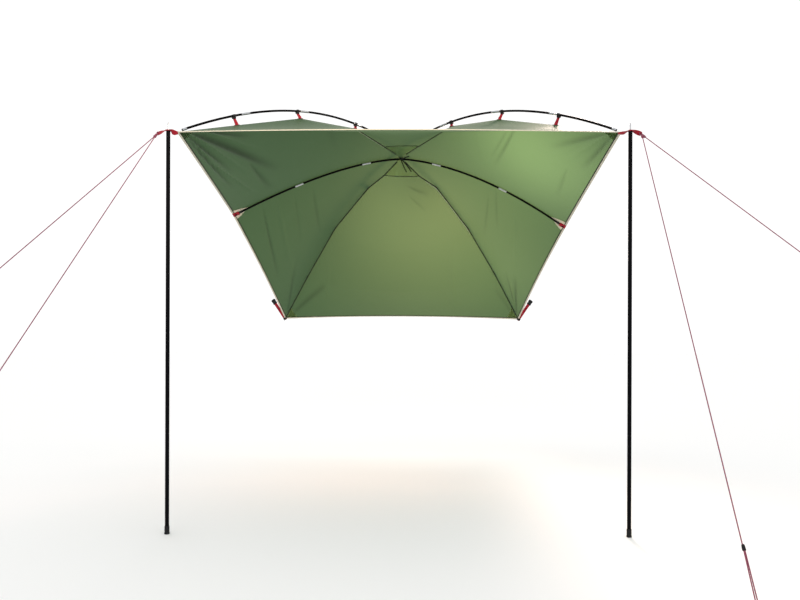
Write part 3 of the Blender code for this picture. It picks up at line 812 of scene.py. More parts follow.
CLOTH = CoatedCloth("green_coated_taffeta", "green_fabric", creased=True)
# Darker copy of the cloth with less glow, for seams, turned hems and the patch rim: painted shade
SHADED_SEAM_CLOTH = CoatedCloth("green_seam_taffeta", "green_fabric", 0.15, "161e0e", "1c2612", "20280f")
# Lighter copy of the cloth that glows almost white: painted light that cancels the shade of the
# patch's doubled layer
LIT_PATCH_CLOTH = CoatedCloth("green_patch_taffeta", "green_fabric", 0.97, "566745", "60714e",
                          "fbfdf4")
# Lighter, more glowing copies of the cloth for the corner patches, lighter still at the rear:
# painted light that cancels the doubled layer's shade
LIT_CORNER_CLOTH = CoatedCloth("green_corner_taffeta", "green_fabric", 0.72, "34492f", "3a5036",
                           "dce4c8")
LIT_REAR_CORNER_CLOTH = CoatedCloth("green_rear_corner_taffeta", "green_fabric", 0.84, "50633f",
                                "586c48", "f0f2dc")
# Pale, glowing strip beside two seams: a painted highlight along them
SEAM_HIGHLIGHT = CoatedCloth("clear_seam_tape", "green_fabric", 0.30, "a9b596", "b4bfa2", "c9d2b6")
BINDING = WovenBand("beige_binding_tape", "beige_tape", 0.15, "d9d6c6", "c5c1b0", "b2ab9a",
                    rib=0.0012, stitch_place=0.30)
CREAM_PATCH = WovenBand("cream_patch_cloth", "beige_tape", 0.20, "e6dfcb", "d0c8b2", "b0a892",
                        rib=0.0020, stitch_place=0.08)
RED_WEBBING = WovenBand("red_webbing_weave", "red_webbing", 0.0, "a41027", "780a1c", "880d20")
BLACK_TAPE = WovenBand("black_tape_weave", "red_webbing", 0.0, "1d1d1f", "0e0e10", "262629",
                       rib=0.0014)
POWDER_COAT = CoatedTube("black_powder_coat", "black_steel_tube", colour="060609", worn="0e0e13",
                         base=(("Specular IOR Level", 0.04),))
FIBRE_ROD = CoatedTube("black_fibre_rod", "black_rod", colour="060607", worn="101012", rough=0.45,
                       grain=0.0008, base=(("Specular IOR Level", 0.03),))
FERRULE_METAL = BareMetal("drawn_aluminium", "bare_metal")
ZINC_WIRE = BareMetal("galvanised_wire", "peg_steel", colour="a6a9ad", worn="7d8084", rough=0.38)
BLACK_NYLON = MouldedPlastic("black_moulded_nylon", "black_plastic")
RED_CORD = BraidedCord("red_braided_cord", "red_cord")


# ---- Middle lines

@dataclass(frozen=True)
class AwningLines:
    """Middle lines of the rods, seams and edges, with the driving sizes of the solids' source."""

    pole_spacing: float = 2.400
    pole_height: float = 2.100
    depth: float = 2.000
    front_half: float = 1.154
    side_half: tuple[float, float] = (1.111, 1.087)
    rear_half: float = 0.907
    front_height: float = 2.096
    rear_height: float = 1.075
    side_depth: float = 1.084
    side_height: tuple[float, float] = (1.784, 1.709)
    apex_share: float = 0.560
    apex_height: float = 2.169
    arch_rise: float = 2.7745
    arch_lean: float = 0.697
    arch_flat: float = -0.107
    cross_power: float = 1.644
    cross_skew: float = 0.026
    cross_drop: float = 0.0118
    crossing_share: float = 0.558
    crossing_offset: float = 0.0057
    crossing_reach: float = 0.06
    corner_drop: float = 0.0015
    nominal_clips: Point = (0.255, 0.520, 0.785)
    dip_share: float = 0.130
    dip: float = 0.072

    @property
    def middle_x(self) -> float:
        """X of the middle between the poles."""
        return self.pole_spacing / 2

    @property
    def apex(self) -> Array:
        """Point where the six panels meet."""
        return np.array([self.middle_x, self.depth * self.apex_share, self.apex_height])

    def arch(self, side: Side, share: Array) -> Array:
        """Rod from the front corner on this side to the far rear corner.

        Its height above the straight line between its ends is t (1 - t) times a parabola, and near
        the crossing one rod is bent up and the other down by a narrow bell.

        Args:
            side: The side on which the rod starts.
            share: Share of the way, from 0 in front to 1 at the rear.

        Returns:
            The points.
        """
        t = np.asarray(share, float)
        x = self.middle_x + side.value * (self.front_half - (self.front_half + self.rear_half) * t)
        arch = self.arch_rise + self.arch_lean * (t - 0.5) + self.arch_flat * (t - 0.5) ** 2
        z = self.front_height + (self.rear_height - self.front_height) * t + t * (1 - t) * arch
        bell = np.exp(-(((t - self.crossing_share) / self.crossing_reach) ** 2))
        return np.stack([x, self.depth * t, z - side.value * self.crossing_offset * bell], axis=-1)

    def cross(self, way: Array) -> Array:
        """Rod under the cloth, whose height falls from the apex with a power of the way out.

        Args:
            way: From -1 at the left edge to 1 at the right edge.

        Returns:
            The points.
        """
        u = np.asarray(way, float)
        low, high = self.side_height
        near, far = self.side_half
        inwards = 1 - u ** 2
        arch = (self.apex_height - (low + high) / 2) * (1 - np.abs(u) ** self.cross_power)
        x = self.middle_x + ((near + far) / 2 + u * (far - near) / 2) * u
        y = self.side_depth + (self.apex[1] - self.side_depth) * inwards
        z = (low + high) / 2 + u * (high - low) / 2 + arch + self.cross_skew * u * inwards
        return np.stack([x, y, z - self.cross_drop], axis=-1)

    def corner_share(self, half: Half, share: Array) -> Array:
        """Place along a rod that lies a share of the way from the apex to a corner."""
        end = 0.0 if half is Half.FRONT else 1.0
        return self.apex_share + (end - self.apex_share) * np.asarray(share, float)

    def clip_share(self, half: Half, side: Side, share: Array) -> Array:
        """Real share for a nominal one, which puts the nominal clips at the real ones."""
        clips = side.of(CLIP_SHARES[half])
        return np.interp(share, [0.0, *self.nominal_clips, 1.0], [0.0, *clips, 1.0])

    def above(self, half: Half, side: Side, share: Array) -> Array:
        """Middle of the rod above a nominal share of a seam."""
        return self.arch(side, self.corner_share(half, self.clip_share(half, side, share)))

    def seam(self, half: Half, side: Side, share: Array) -> Array:
        """Seam from the apex to a corner, under the rod that starts at the front on this side.

        The cloth is taut between the clips, so its height is the straight mix of theirs. The rear
        seams dip sharply next to the apex.

        Args:
            half: The half of the canopy.
            side: The side on which the rod above it starts.
            share: Nominal share of the way from the apex.

        Returns:
            The points.
        """
        front = half is Half.FRONT
        shares = [0.0, *self.nominal_clips, 1.0]
        clips = self.above(half, side, self.nominal_clips)[:, 2] - side.of(CLIP_DROPS[half])
        end = self.front_height - self.corner_drop if front else self.rear_height
        heights = [self.apex_height, *clips, end]
        if not front:
            shares.insert(1, self.dip_share)
            heights.insert(1, float(self.above(half, side, self.dip_share)[2]) - self.dip)
        line = self.above(half, side, share)
        line[..., 2] = np.interp(share, shares, heights)
        return line

    def crease(self, side: Side, share: Array) -> Array:
        """Crease over the rod under the cloth, from the apex to the middle of one side edge.

        Args:
            side: The side.
            share: Share of the way from the apex.

        Returns:
            The points.
        """
        line = self.cross(side.value * np.asarray(share, float))
        line[..., 2] += self.cross_drop
        return line


@dataclass(frozen=True)
class Fold:
    """Soft ridge or valley in the cloth: a bell across a straight line that fades at both ends."""

    start: tuple[float, float]
    end: tuple[float, float]
    width: float
    depth: float
    start_width: float = 0.35
    skew: float = 0.65

    def height(self, x: Array, y: Array) -> Array:
        """Depth at plan points, times a bell across the line, times a skew sine along it.

        Args:
            x: X of the points.
            y: Y of the points.

        Returns:
            The heights.
        """
        a, b = np.array(self.start), np.array(self.end)
        length = float(np.linalg.norm(b - a))
        way = (b - a) / length
        along = np.clip(((x - a[0]) * way[0] + (y - a[1]) * way[1]) / length, 0, 1)
        off = (y - a[1]) * way[0] - (x - a[0]) * way[1]
        spread = self.width * (self.start_width + (1 - self.start_width) * along)
        return self.depth * np.exp(-((off / spread) ** 2)) * np.sin(np.pi * along ** self.skew)


def folds(*rows: tuple[float, ...]) -> tuple[Fold, ...]:
    """Folds from rows of numbers: X and Y of the start and of the end, width and depth."""
    return tuple(Fold(row[:2], row[2:4], *row[4:]) for row in rows)


# Folds in plan; valleys are negative, and the cloth in them gets painted shade
FRONT_SIDE_FOLDS = (
    folds((0.10, 0.03, 0.36, 0.42, 0.017, -0.010), (0.07, 0.00, 0.44, 0.84, 0.028, -0.013),
          (0.07, 0.03, 0.20, 0.62, 0.013, -0.010), (0.07, 0.08, 0.165, 0.80, 0.011, -0.009),
          (0.30, 0.60, 0.36, 1.02, 0.020, -0.006), (0.09, 0.02, 0.38, 0.57, 0.012, 0.007),
          (0.075, 0.02, 0.28, 0.72, 0.012, 0.007), (0.10, 0.34, 0.28, 1.02, 0.006, 0.006),
          (0.20, 0.03, 1.00, 0.34, 0.050, 0.006), (0.24, 0.02, 0.80, 0.14, 0.018, -0.005),
          (0.70, 0.34, 0.80, 0.96, 0.024, -0.003)),
    folds((1.88, 0.48, 1.79, 0.92, 0.012, -0.005), (1.84, 0.54, 1.76, 0.88, 0.010, -0.003),
          (2.33, 0.03, 2.25, 0.46, 0.014, -0.006), (2.32, 0.04, 2.06, 0.46, 0.020, -0.005),
          (2.32, 0.04, 2.16, 0.48, 0.014, 0.006), (2.18, 0.52, 2.18, 0.84, 0.014, -0.003),
          (1.60, 0.46, 1.72, 0.92, 0.016, 0.004), (2.30, 0.04, 1.70, 0.34, 0.030, -0.003)))
REAR_SIDE_FOLDS = (
    folds((0.28, 1.14, 0.30, 1.66, 0.011, -0.006), (0.61, 1.16, 0.62, 1.52, 0.014, -0.003),
          (0.49, 1.16, 0.49, 1.48, 0.011, -0.002), (0.31, 1.99, 0.44, 1.56, 0.014, -0.005),
          (0.38, 1.14, 0.40, 1.70, 0.020, 0.004)),
    folds((1.79, 1.18, 1.79, 1.50, 0.010, -0.003), (1.83, 1.12, 1.87, 1.38, 0.009, -0.003),
          (2.09, 1.99, 2.03, 1.62, 0.012, -0.007), (2.10, 1.99, 1.96, 1.64, 0.010, -0.006),
          (2.09, 1.99, 1.99, 1.62, 0.012, 0.006), (1.96, 1.14, 2.02, 1.60, 0.014, 0.003)))
REAR_FOLDS = folds(
    (1.24, 1.26, 1.40, 1.36, 0.010, -0.004), (1.26, 1.23, 1.42, 1.31, 0.009, 0.004),
    (1.25, 1.31, 1.38, 1.42, 0.008, -0.003), (0.31, 2.00, 0.70, 1.77, 0.016, -0.006),
    (2.09, 2.00, 1.90, 1.84, 0.014, -0.006), (0.60, 1.97, 0.72, 1.50, 0.030, 0.004),
    (1.60, 1.97, 1.56, 1.44, 0.036, 0.004))


@dataclass
class Panel:
    """One cloth panel between two lines from the apex and one outer edge.

    Its plan is the mix of the two lines. Its heights are those of a stretched membrane, so each
    point is the weighted mean of its neighbours, with its folds added on top. The places in it are
    shares of the way from the apex, and from the first line to the last one.
    """

    first: Curve
    last: Curve
    bow: float = 0.0
    rise: float = 0.0
    folds: tuple[Fold, ...] = ()
    rows: int = 128
    columns: int = 112
    coarsest: int = 8
    rounds: int = 420
    side_fade: float = 0.04
    edge_fade: float = 0.03
    apex_fade: float = 0.2
    heights: Array = field(init=False)

    def __post_init__(self) -> None:
        """Relax the heights until the membrane is at rest, on ever finer grids."""
        first, last = (unit((line(END) - line(START))[:2]) for line in (self.first, self.last))
        opening = math.acos(float(np.clip(first @ last, -1, 1)))
        coarse = self.coarsest
        while coarse:
            rows, columns = self.rows // coarse, self.columns // coarse
            s, w = np.meshgrid(np.linspace(0, 1, rows + 1), np.linspace(0, 1, columns + 1),
                               indexing="ij")
            z = self.plan(s, w)[..., 2]
            if coarse < self.coarsest:
                z[1:-1, 1:-1] = self.mixed_height(s, w)[1:-1, 1:-1]
            ring = np.arange(1, rows)[:, None]
            turn = (columns / (ring * opening)) ** 2
            for _ in range(self.rounds):
                outwards = z[2:, 1:-1] * (1 + 0.5 / ring) + z[:-2, 1:-1] * (1 - 0.5 / ring)
                sideways = (z[1:-1, 2:] + z[1:-1, :-2]) * turn
                z[1:-1, 1:-1] = (outwards + sideways) / (2 + 2 * turn)
            self.heights = z
            coarse //= 2

    def mixed_height(self, share: Array, across: Array) -> Array:
        """Height between the relaxed grid's points, as the straight mix of the four around it.

        Args:
            share: Shares of the way from the apex.
            across: Shares of the way across.

        Returns:
            The heights.
        """
        z = self.heights
        rows, columns = z.shape[0] - 1, z.shape[1] - 1
        i, j = np.clip(share, 0, 1) * rows, np.clip(across, 0, 1) * columns
        i0, j0 = np.minimum(i.astype(int), rows - 1), np.minimum(j.astype(int), columns - 1)
        di, dj = i - i0, j - j0
        return ((z[i0, j0] * (1 - di) + z[i0 + 1, j0] * di) * (1 - dj)
                + (z[i0, j0 + 1] * (1 - di) + z[i0 + 1, j0 + 1] * di) * dj)

    def plan(self, share: Array, across: Array) -> Array:
        """Straight mix of the two lines, with the outer edge's bow and rise as a parabola.

        Args:
            share: Shares of the way from the apex.
            across: Shares of the way across.

        Returns:
            The points.
        """
        w = across[..., None]
        swell = np.array([self.bow, 0.0, self.rise]) * 4 * w * (1 - w)
        start = self.first(share)
        return start + (self.last(share) - start) * w + swell * share[..., None]

    def at(self, share: Array, across: Array) -> Array:
        """Points on the stretched and folded panel.

        Args:
            share: Shares of the way from the apex.
            across: Shares of the way across.

        Returns:
            The points.
        """
        share, across = np.broadcast_arrays(np.asarray(share, float), np.asarray(across, float))
        points = self.plan(share, across)
        points[..., 2] = self.mixed_height(share, across) + self.folded(share, across, points)
        return points

    def folded(self, share: Array, across: Array, points: Array) -> Array:
        """Sum of the folds' heights, which fade near the panel's borders.

        Args:
            share: Shares of the way from the apex.
            across: Shares of the way across.
            points: The points, of which the plan counts.

        Returns:
            The heights.
        """
        fade = (ease(np.minimum(across, 1 - across) / self.side_fade)
                * ease((1 - share) / self.edge_fade) * ease(share / self.apex_fade))
        return fade * sum(fold.height(points[..., 0], points[..., 1]) for fold in self.folds)

    def width(self, share: Array) -> Array:
        """Distance between the two lines."""
        return np.linalg.norm(self.last(share) - self.first(share), axis=-1)

    def beside(self, share: Array, distance: float, from_last: bool) -> Array:
        """Points at a distance from one of the two lines."""
        w = distance / self.width(share)
        return self.at(share, 1 - w if from_last else w)

    def inside_edge(self, inset: float, count: int) -> Array:
        """Points at a distance inside the outer edge.

        Args:
            inset: The distance.
            count: How many points.

        Returns:
            The points, (count, 3).
        """
        across = np.linspace(0, 1, count)
        arm = np.linalg.norm(self.at(START, across) - self.at(END, across), axis=1)
        return self.at(1 - inset / arm, across)

    def surface(self) -> Surface:
        """The panel's whole cloth, with the way along it and the distance from its border.

        Returns:
            The surface, with UVs in metres.
        """
        share, across = np.linspace(0, 1, self.rows + 1), np.linspace(0, 1, self.columns + 1)
        s, w = np.meshgrid(share, across, indexing="ij")
        grid = self.at(s, w)
        arm = np.linalg.norm(grid[:1] - grid[-1:], axis=-1)
        width = np.linalg.norm(grid[:, -1] - grid[:, 0], axis=-1)[:, None]
        aside, beyond = np.minimum(w, 1 - w) * width, (1 - s) * arm
        made = grid_surface(grid, share * arm.mean(), across * width[-1, 0])
        values = {"border": np.minimum(aside, beyond),
                  "along": np.where(aside < beyond, s * arm, w * width[-1]),
                  # Share of painted shade in each fold valley, from the depth of the folds there
                  "valley": np.clip(-self.folded(s, w, grid) / PAINTED_SHADE_FULL_DEPTH, 0, PAINTED_SHADE_MOST)}
        made.attributes = {name: value.ravel().astype(np.float32)
                           for name, value in values.items()}
        return made


# ---- Sub-assemblies

@dataclass
class Canopy:
    """The six panels as one cloth, with its seams, bindings and sewn patches."""

    lines: AwningLines
    front_rise: float = 0.014
    rear_rise: float = 0.020
    front_bow: float = 0.002
    rear_bow: float = 0.010
    seam_span: tuple[float, float] = (0.03, 0.994)
    seam_width: float = 0.0092
    seam_thickness: float = 0.0020
    seam_depth: float = 0.0014
    tape_insets: Point = (0.0010, 0.0026, 0.0042)
    tape_thickness: float = 0.0006
    binding_width: float = 0.0118
    binding_thickness: float = 0.0030
    front_binding_thickness: float = 0.0052
    binding_overhang: float = 0.0008
    hem_overlap: float = 0.002
    hem_width: float = 0.0045
    hem_thickness: float = 0.0007
    patch_share: float = 0.130
    patch_front_share: float = 0.098
    patch_side_share: float = 0.012
    patch_point: int = 24
    patch_hollow: float = 0.22
    patch_depth: float = 0.0012
    patch_thickness: float = 0.0006
    rim_width: float = 0.006
    rim_thickness: float = 0.0012
    rim_puff: Point = (0.4, 0.9, 0.4)
    side_patch: tuple[float, float] = (0.048, 0.092)
    side_patch_inset: float = 0.012
    side_patch_power: float = 1.4
    side_patch_depth: float = 0.0022
    side_patch_thickness: float = 0.0008
    corner_patch: float = 0.078
    corner_inset: float = 0.004
    corner_reach: float = 0.992
    corner_depth: float = 0.0016
    corner_thickness: float = 0.0006
    panels: dict[str, Panel] = field(init=False)

    def __post_init__(self) -> None:
        """Lay out the six panels, each between two lines from the apex."""
        seams = {(half, side): partial(self.lines.seam, half, side)
                 for half in Half for side in Side}
        left, right = Side.LEFT, Side.RIGHT
        self.panels = {"front": Panel(seams[Half.FRONT, left], seams[Half.FRONT, right],
                                      rise=self.front_rise),
                       "rear": Panel(seams[Half.REAR, right], seams[Half.REAR, left],
                                     rise=self.rear_rise, folds=REAR_FOLDS)}
        for side in Side:
            crease = partial(self.lines.crease, side)
            self.panels[f"front_{side.word}"] = Panel(
                seams[Half.FRONT, side], crease, -side.value * self.front_bow,
                folds=side.of(FRONT_SIDE_FOLDS))
            self.panels[f"rear_{side.word}"] = Panel(
                crease, seams[Half.REAR, side.other], -side.value * self.rear_bow,
                folds=side.of(REAR_SIDE_FOLDS))

    def build(self) -> Piece:
        """Make the cloth and everything sewn to it.

        Returns:
            The cloth.
        """
        cloth = self.cloth()
        sewn = [*self.seams(), *self.bindings(), *self.apex_patch(), *self.side_patches(),
                *self.corner_patches()]
        return cloth

    def cloth(self) -> Piece:
        """Join the six panels' surfaces into one continuous sheet."""
        return add_piece("canopy_cloth", join([panel.surface() for panel in self.panels.values()]),
                         CLOTH, [f"canopy_{name}" for name in self.panels], CLOTH_SHARP_ANGLE)

    def seams(self) -> list[Piece]:
        """Make the felled seams, as bands of doubled cloth under the cloth in painted shade, and
        the pale strips beside two seams that paint a highlight along them.

        Returns:
            The six pieces.
        """
        made = []
        shares = np.linspace(*self.seam_span, 90)
        for name, sides in SEAMS.items():
            (outer, inner), (far_outer, far_inner) = (
                [self.panels[panel].beside(shares, reach * self.seam_width, from_last)
                 for reach in (0.5, 0.25)] for panel, from_last in sides)
            panel, from_last = sides[0]
            middle = (self.panels[panel].last if from_last else self.panels[panel].first)(shares)
            grid = np.stack([outer, inner, middle, far_inner, far_outer], axis=1)
            grid = lowered(grid, self.seam_depth)
            made.append(add_piece(f"seam_{name}", slab(grid, self.seam_thickness), SHADED_SEAM_CLOTH))
        # Pale strips beside two seams: painted highlight
        for name, span in SEAM_HIGHLIGHT_SPANS.items():
            grid = np.stack([self.panels[name].beside(np.linspace(*span, 80),
                                                      self.seam_width / 2 + inset, name == "rear")
                             for inset in self.tape_insets], axis=1)
            made.append(add_piece(f"seam_tape_{name}", slab(lowered(grid, self.seam_depth),
                                                            self.tape_thickness), SEAM_HIGHLIGHT))
        return made

    def bindings(self) -> list[Piece]:
        """Make the folded tape round each edge, and the turned-in cloth beside it in painted shade.

        Returns:
            The eight pieces.
        """
        made = []
        width = self.binding_width
        for name, names in EDGES.items():
            edge, inner, fold = (
                np.concatenate([self.panels[n].inside_edge(inset, 60)[n != names[0]:]
                                for n in names])
                for inset in (0.0, width, width + self.hem_width))
            edge = edge + unit(edge - inner) * self.binding_overhang
            inwards = unit(inner - edge)
            way = unit(np.gradient(edge, axis=0))
            thickness = self.front_binding_thickness if name == "front" else self.binding_thickness
            tape = carried(edge + inwards * width / 2, band_profile(width, thickness, 14, 0.5),
                           unit(np.cross(way, inwards)), way=way)
            made.append(add_piece(f"binding_{name}", tape, BINDING, [f"hem_{name}"]))
            strip = np.stack([inner - inwards * self.hem_overlap, (inner + fold) / 2, fold],
                             axis=1)
            strip = slab(lowered(strip, self.seam_depth), self.hem_thickness)
            made.append(add_piece(f"turned_hem_{name}", strip, SHADED_SEAM_CLOTH))
        return made

    def patch_rows(self, name: str) -> Array:
        """One panel's part of the patch under the apex, in six rows from inside to its rim.

        The patch has straight sides under the front and rear panels, hollow at the rear, and runs
        in to a narrow strip beside the creases.

        Args:
            name: The panel.

        Returns:
            The points, in the order in which they go round the apex.
        """
        panel, across = self.panels[name], np.linspace(0, 1, 41)
        front = name.startswith("front")
        share = self.patch_front_share if front else self.patch_share
        if "_" in name:
            towards_seam = (1 - across if front else across) ** self.patch_point
            reach = self.patch_side_share + (share - self.patch_side_share) * towards_seam
        else:
            hollow = 0.0 if front else self.patch_hollow
            reach = share * (1 - hollow * 4 * across * (1 - across))
        arm = float(np.linalg.norm(panel.first(END) - self.lines.apex))
        inner = 1 - self.rim_width / arm / reach
        rows = np.stack([reach * 0.2, reach * 0.5, reach * 0.8, reach * inner,
                         reach * (1 + inner) / 2, reach])
        grid = panel.at(rows, across[None])
        turn = np.unwrap(np.arctan2(*(grid[-1, :, 1::-1] - self.lines.apex[1::-1]).T))
        return (grid if turn[-1] > turn[0] else grid[:, ::-1])[:, :-1]

    def apex_patch(self) -> list[Piece]:
        """Make the doubled patch under the apex in a lighter, glowing copy of the cloth that paints
        light, and its folded rim as a strip of its own in the darker copy that paints shade.

        Returns:
            The patch and its rim.
        """
        grid = np.concatenate([self.patch_rows(name) for name in ROUND_APEX], axis=1)
        grid = grid - UP * self.patch_depth
        half = UP * self.patch_thickness / 2
        tip = np.broadcast_to(self.lines.apex - UP * self.patch_depth, (1, grid.shape[1], 3))
        whole = np.concatenate([tip + half, grid + half, (grid - half)[::-1], tip - half])
        patch = add_piece("apex_patch", grid_surface(whole, closed=True), LIT_PATCH_CLOTH,
                          ["canopy_apex_patch"])
        outer = grid[3:]
        skin = -np.array(self.rim_puff)[:, None, None] * UP * self.rim_thickness
        band = np.concatenate([outer + half, (outer + skin - half)[::-1]])
        rim = grid_surface(np.swapaxes(band, 0, 1), closed=True, loop=True)
        return [patch, add_piece("apex_patch_rim", rim, SHADED_SEAM_CLOTH)]

    def side_patches(self) -> list[Piece]:
        """Make the cream patches that the ends of the rod under the cloth press on.

        A patch is a rounded triangle: its half width is that at the edge times 1 less a power of b,
        where b goes from 0 at the edge to 1 inside.

        Returns:
            The two pieces.
        """
        made = []
        half_width, reach = self.side_patch
        b = np.linspace(0.03, 0.985, 12)[:, None]
        a = np.linspace(-1, 1, 13)[None]
        wide = half_width * (1 - b ** self.side_patch_power) * np.abs(a)
        for side in Side:
            ahead, behind = (self.panels[f"{half.value}_{side.word}"] for half in Half)
            arm = float(np.linalg.norm(ahead.last(END) - self.lines.apex))
            inside = 1 - (self.side_patch_inset + b * reach) / arm
            grid = np.where((a < 0)[..., None], ahead.at(inside, 1 - wide / ahead.width(END)),
                            behind.at(inside, wide / behind.width(END)))
            grid = lowered(grid, self.side_patch_depth)
            made.append(add_piece(f"rod_patch_{side.word}", slab(grid, self.side_patch_thickness),
                                  CREAM_PATCH))
        return made

    def corner_patches(self) -> list[Piece]:
        """Make the triangles that strengthen the four outer corners, in lighter copies of the
        cloth: painted light.

        Returns:
            The four pieces.
        """
        made = []
        r = np.linspace(0.10, 1.0, 9)[:, None] * self.corner_patch
        a = np.linspace(0.0, 1.0, 9)[None]
        for name, panel, from_last, finish in (
                ("front_left", "front_left", False, LIT_CORNER_CLOTH),
                ("front_right", "front_right", False, LIT_CORNER_CLOTH),
                ("rear_left", "rear", True, LIT_REAR_CORNER_CLOTH),
                ("rear_right", "rear", False, LIT_REAR_CORNER_CLOTH)):
            panel = self.panels[panel]
            line = panel.last if from_last else panel.first
            across = r * (1 - a) / float(panel.width(END)) + self.corner_inset
            arm = float(np.linalg.norm(line(END) - self.lines.apex))
            grid = panel.at(self.corner_reach - r * a / arm, 1 - across if from_last else across)
            grid = lowered(grid, self.corner_depth)
            made.append(add_piece(f"corner_patch_{name}", slab(grid, self.corner_thickness),
                                  finish))
        return made


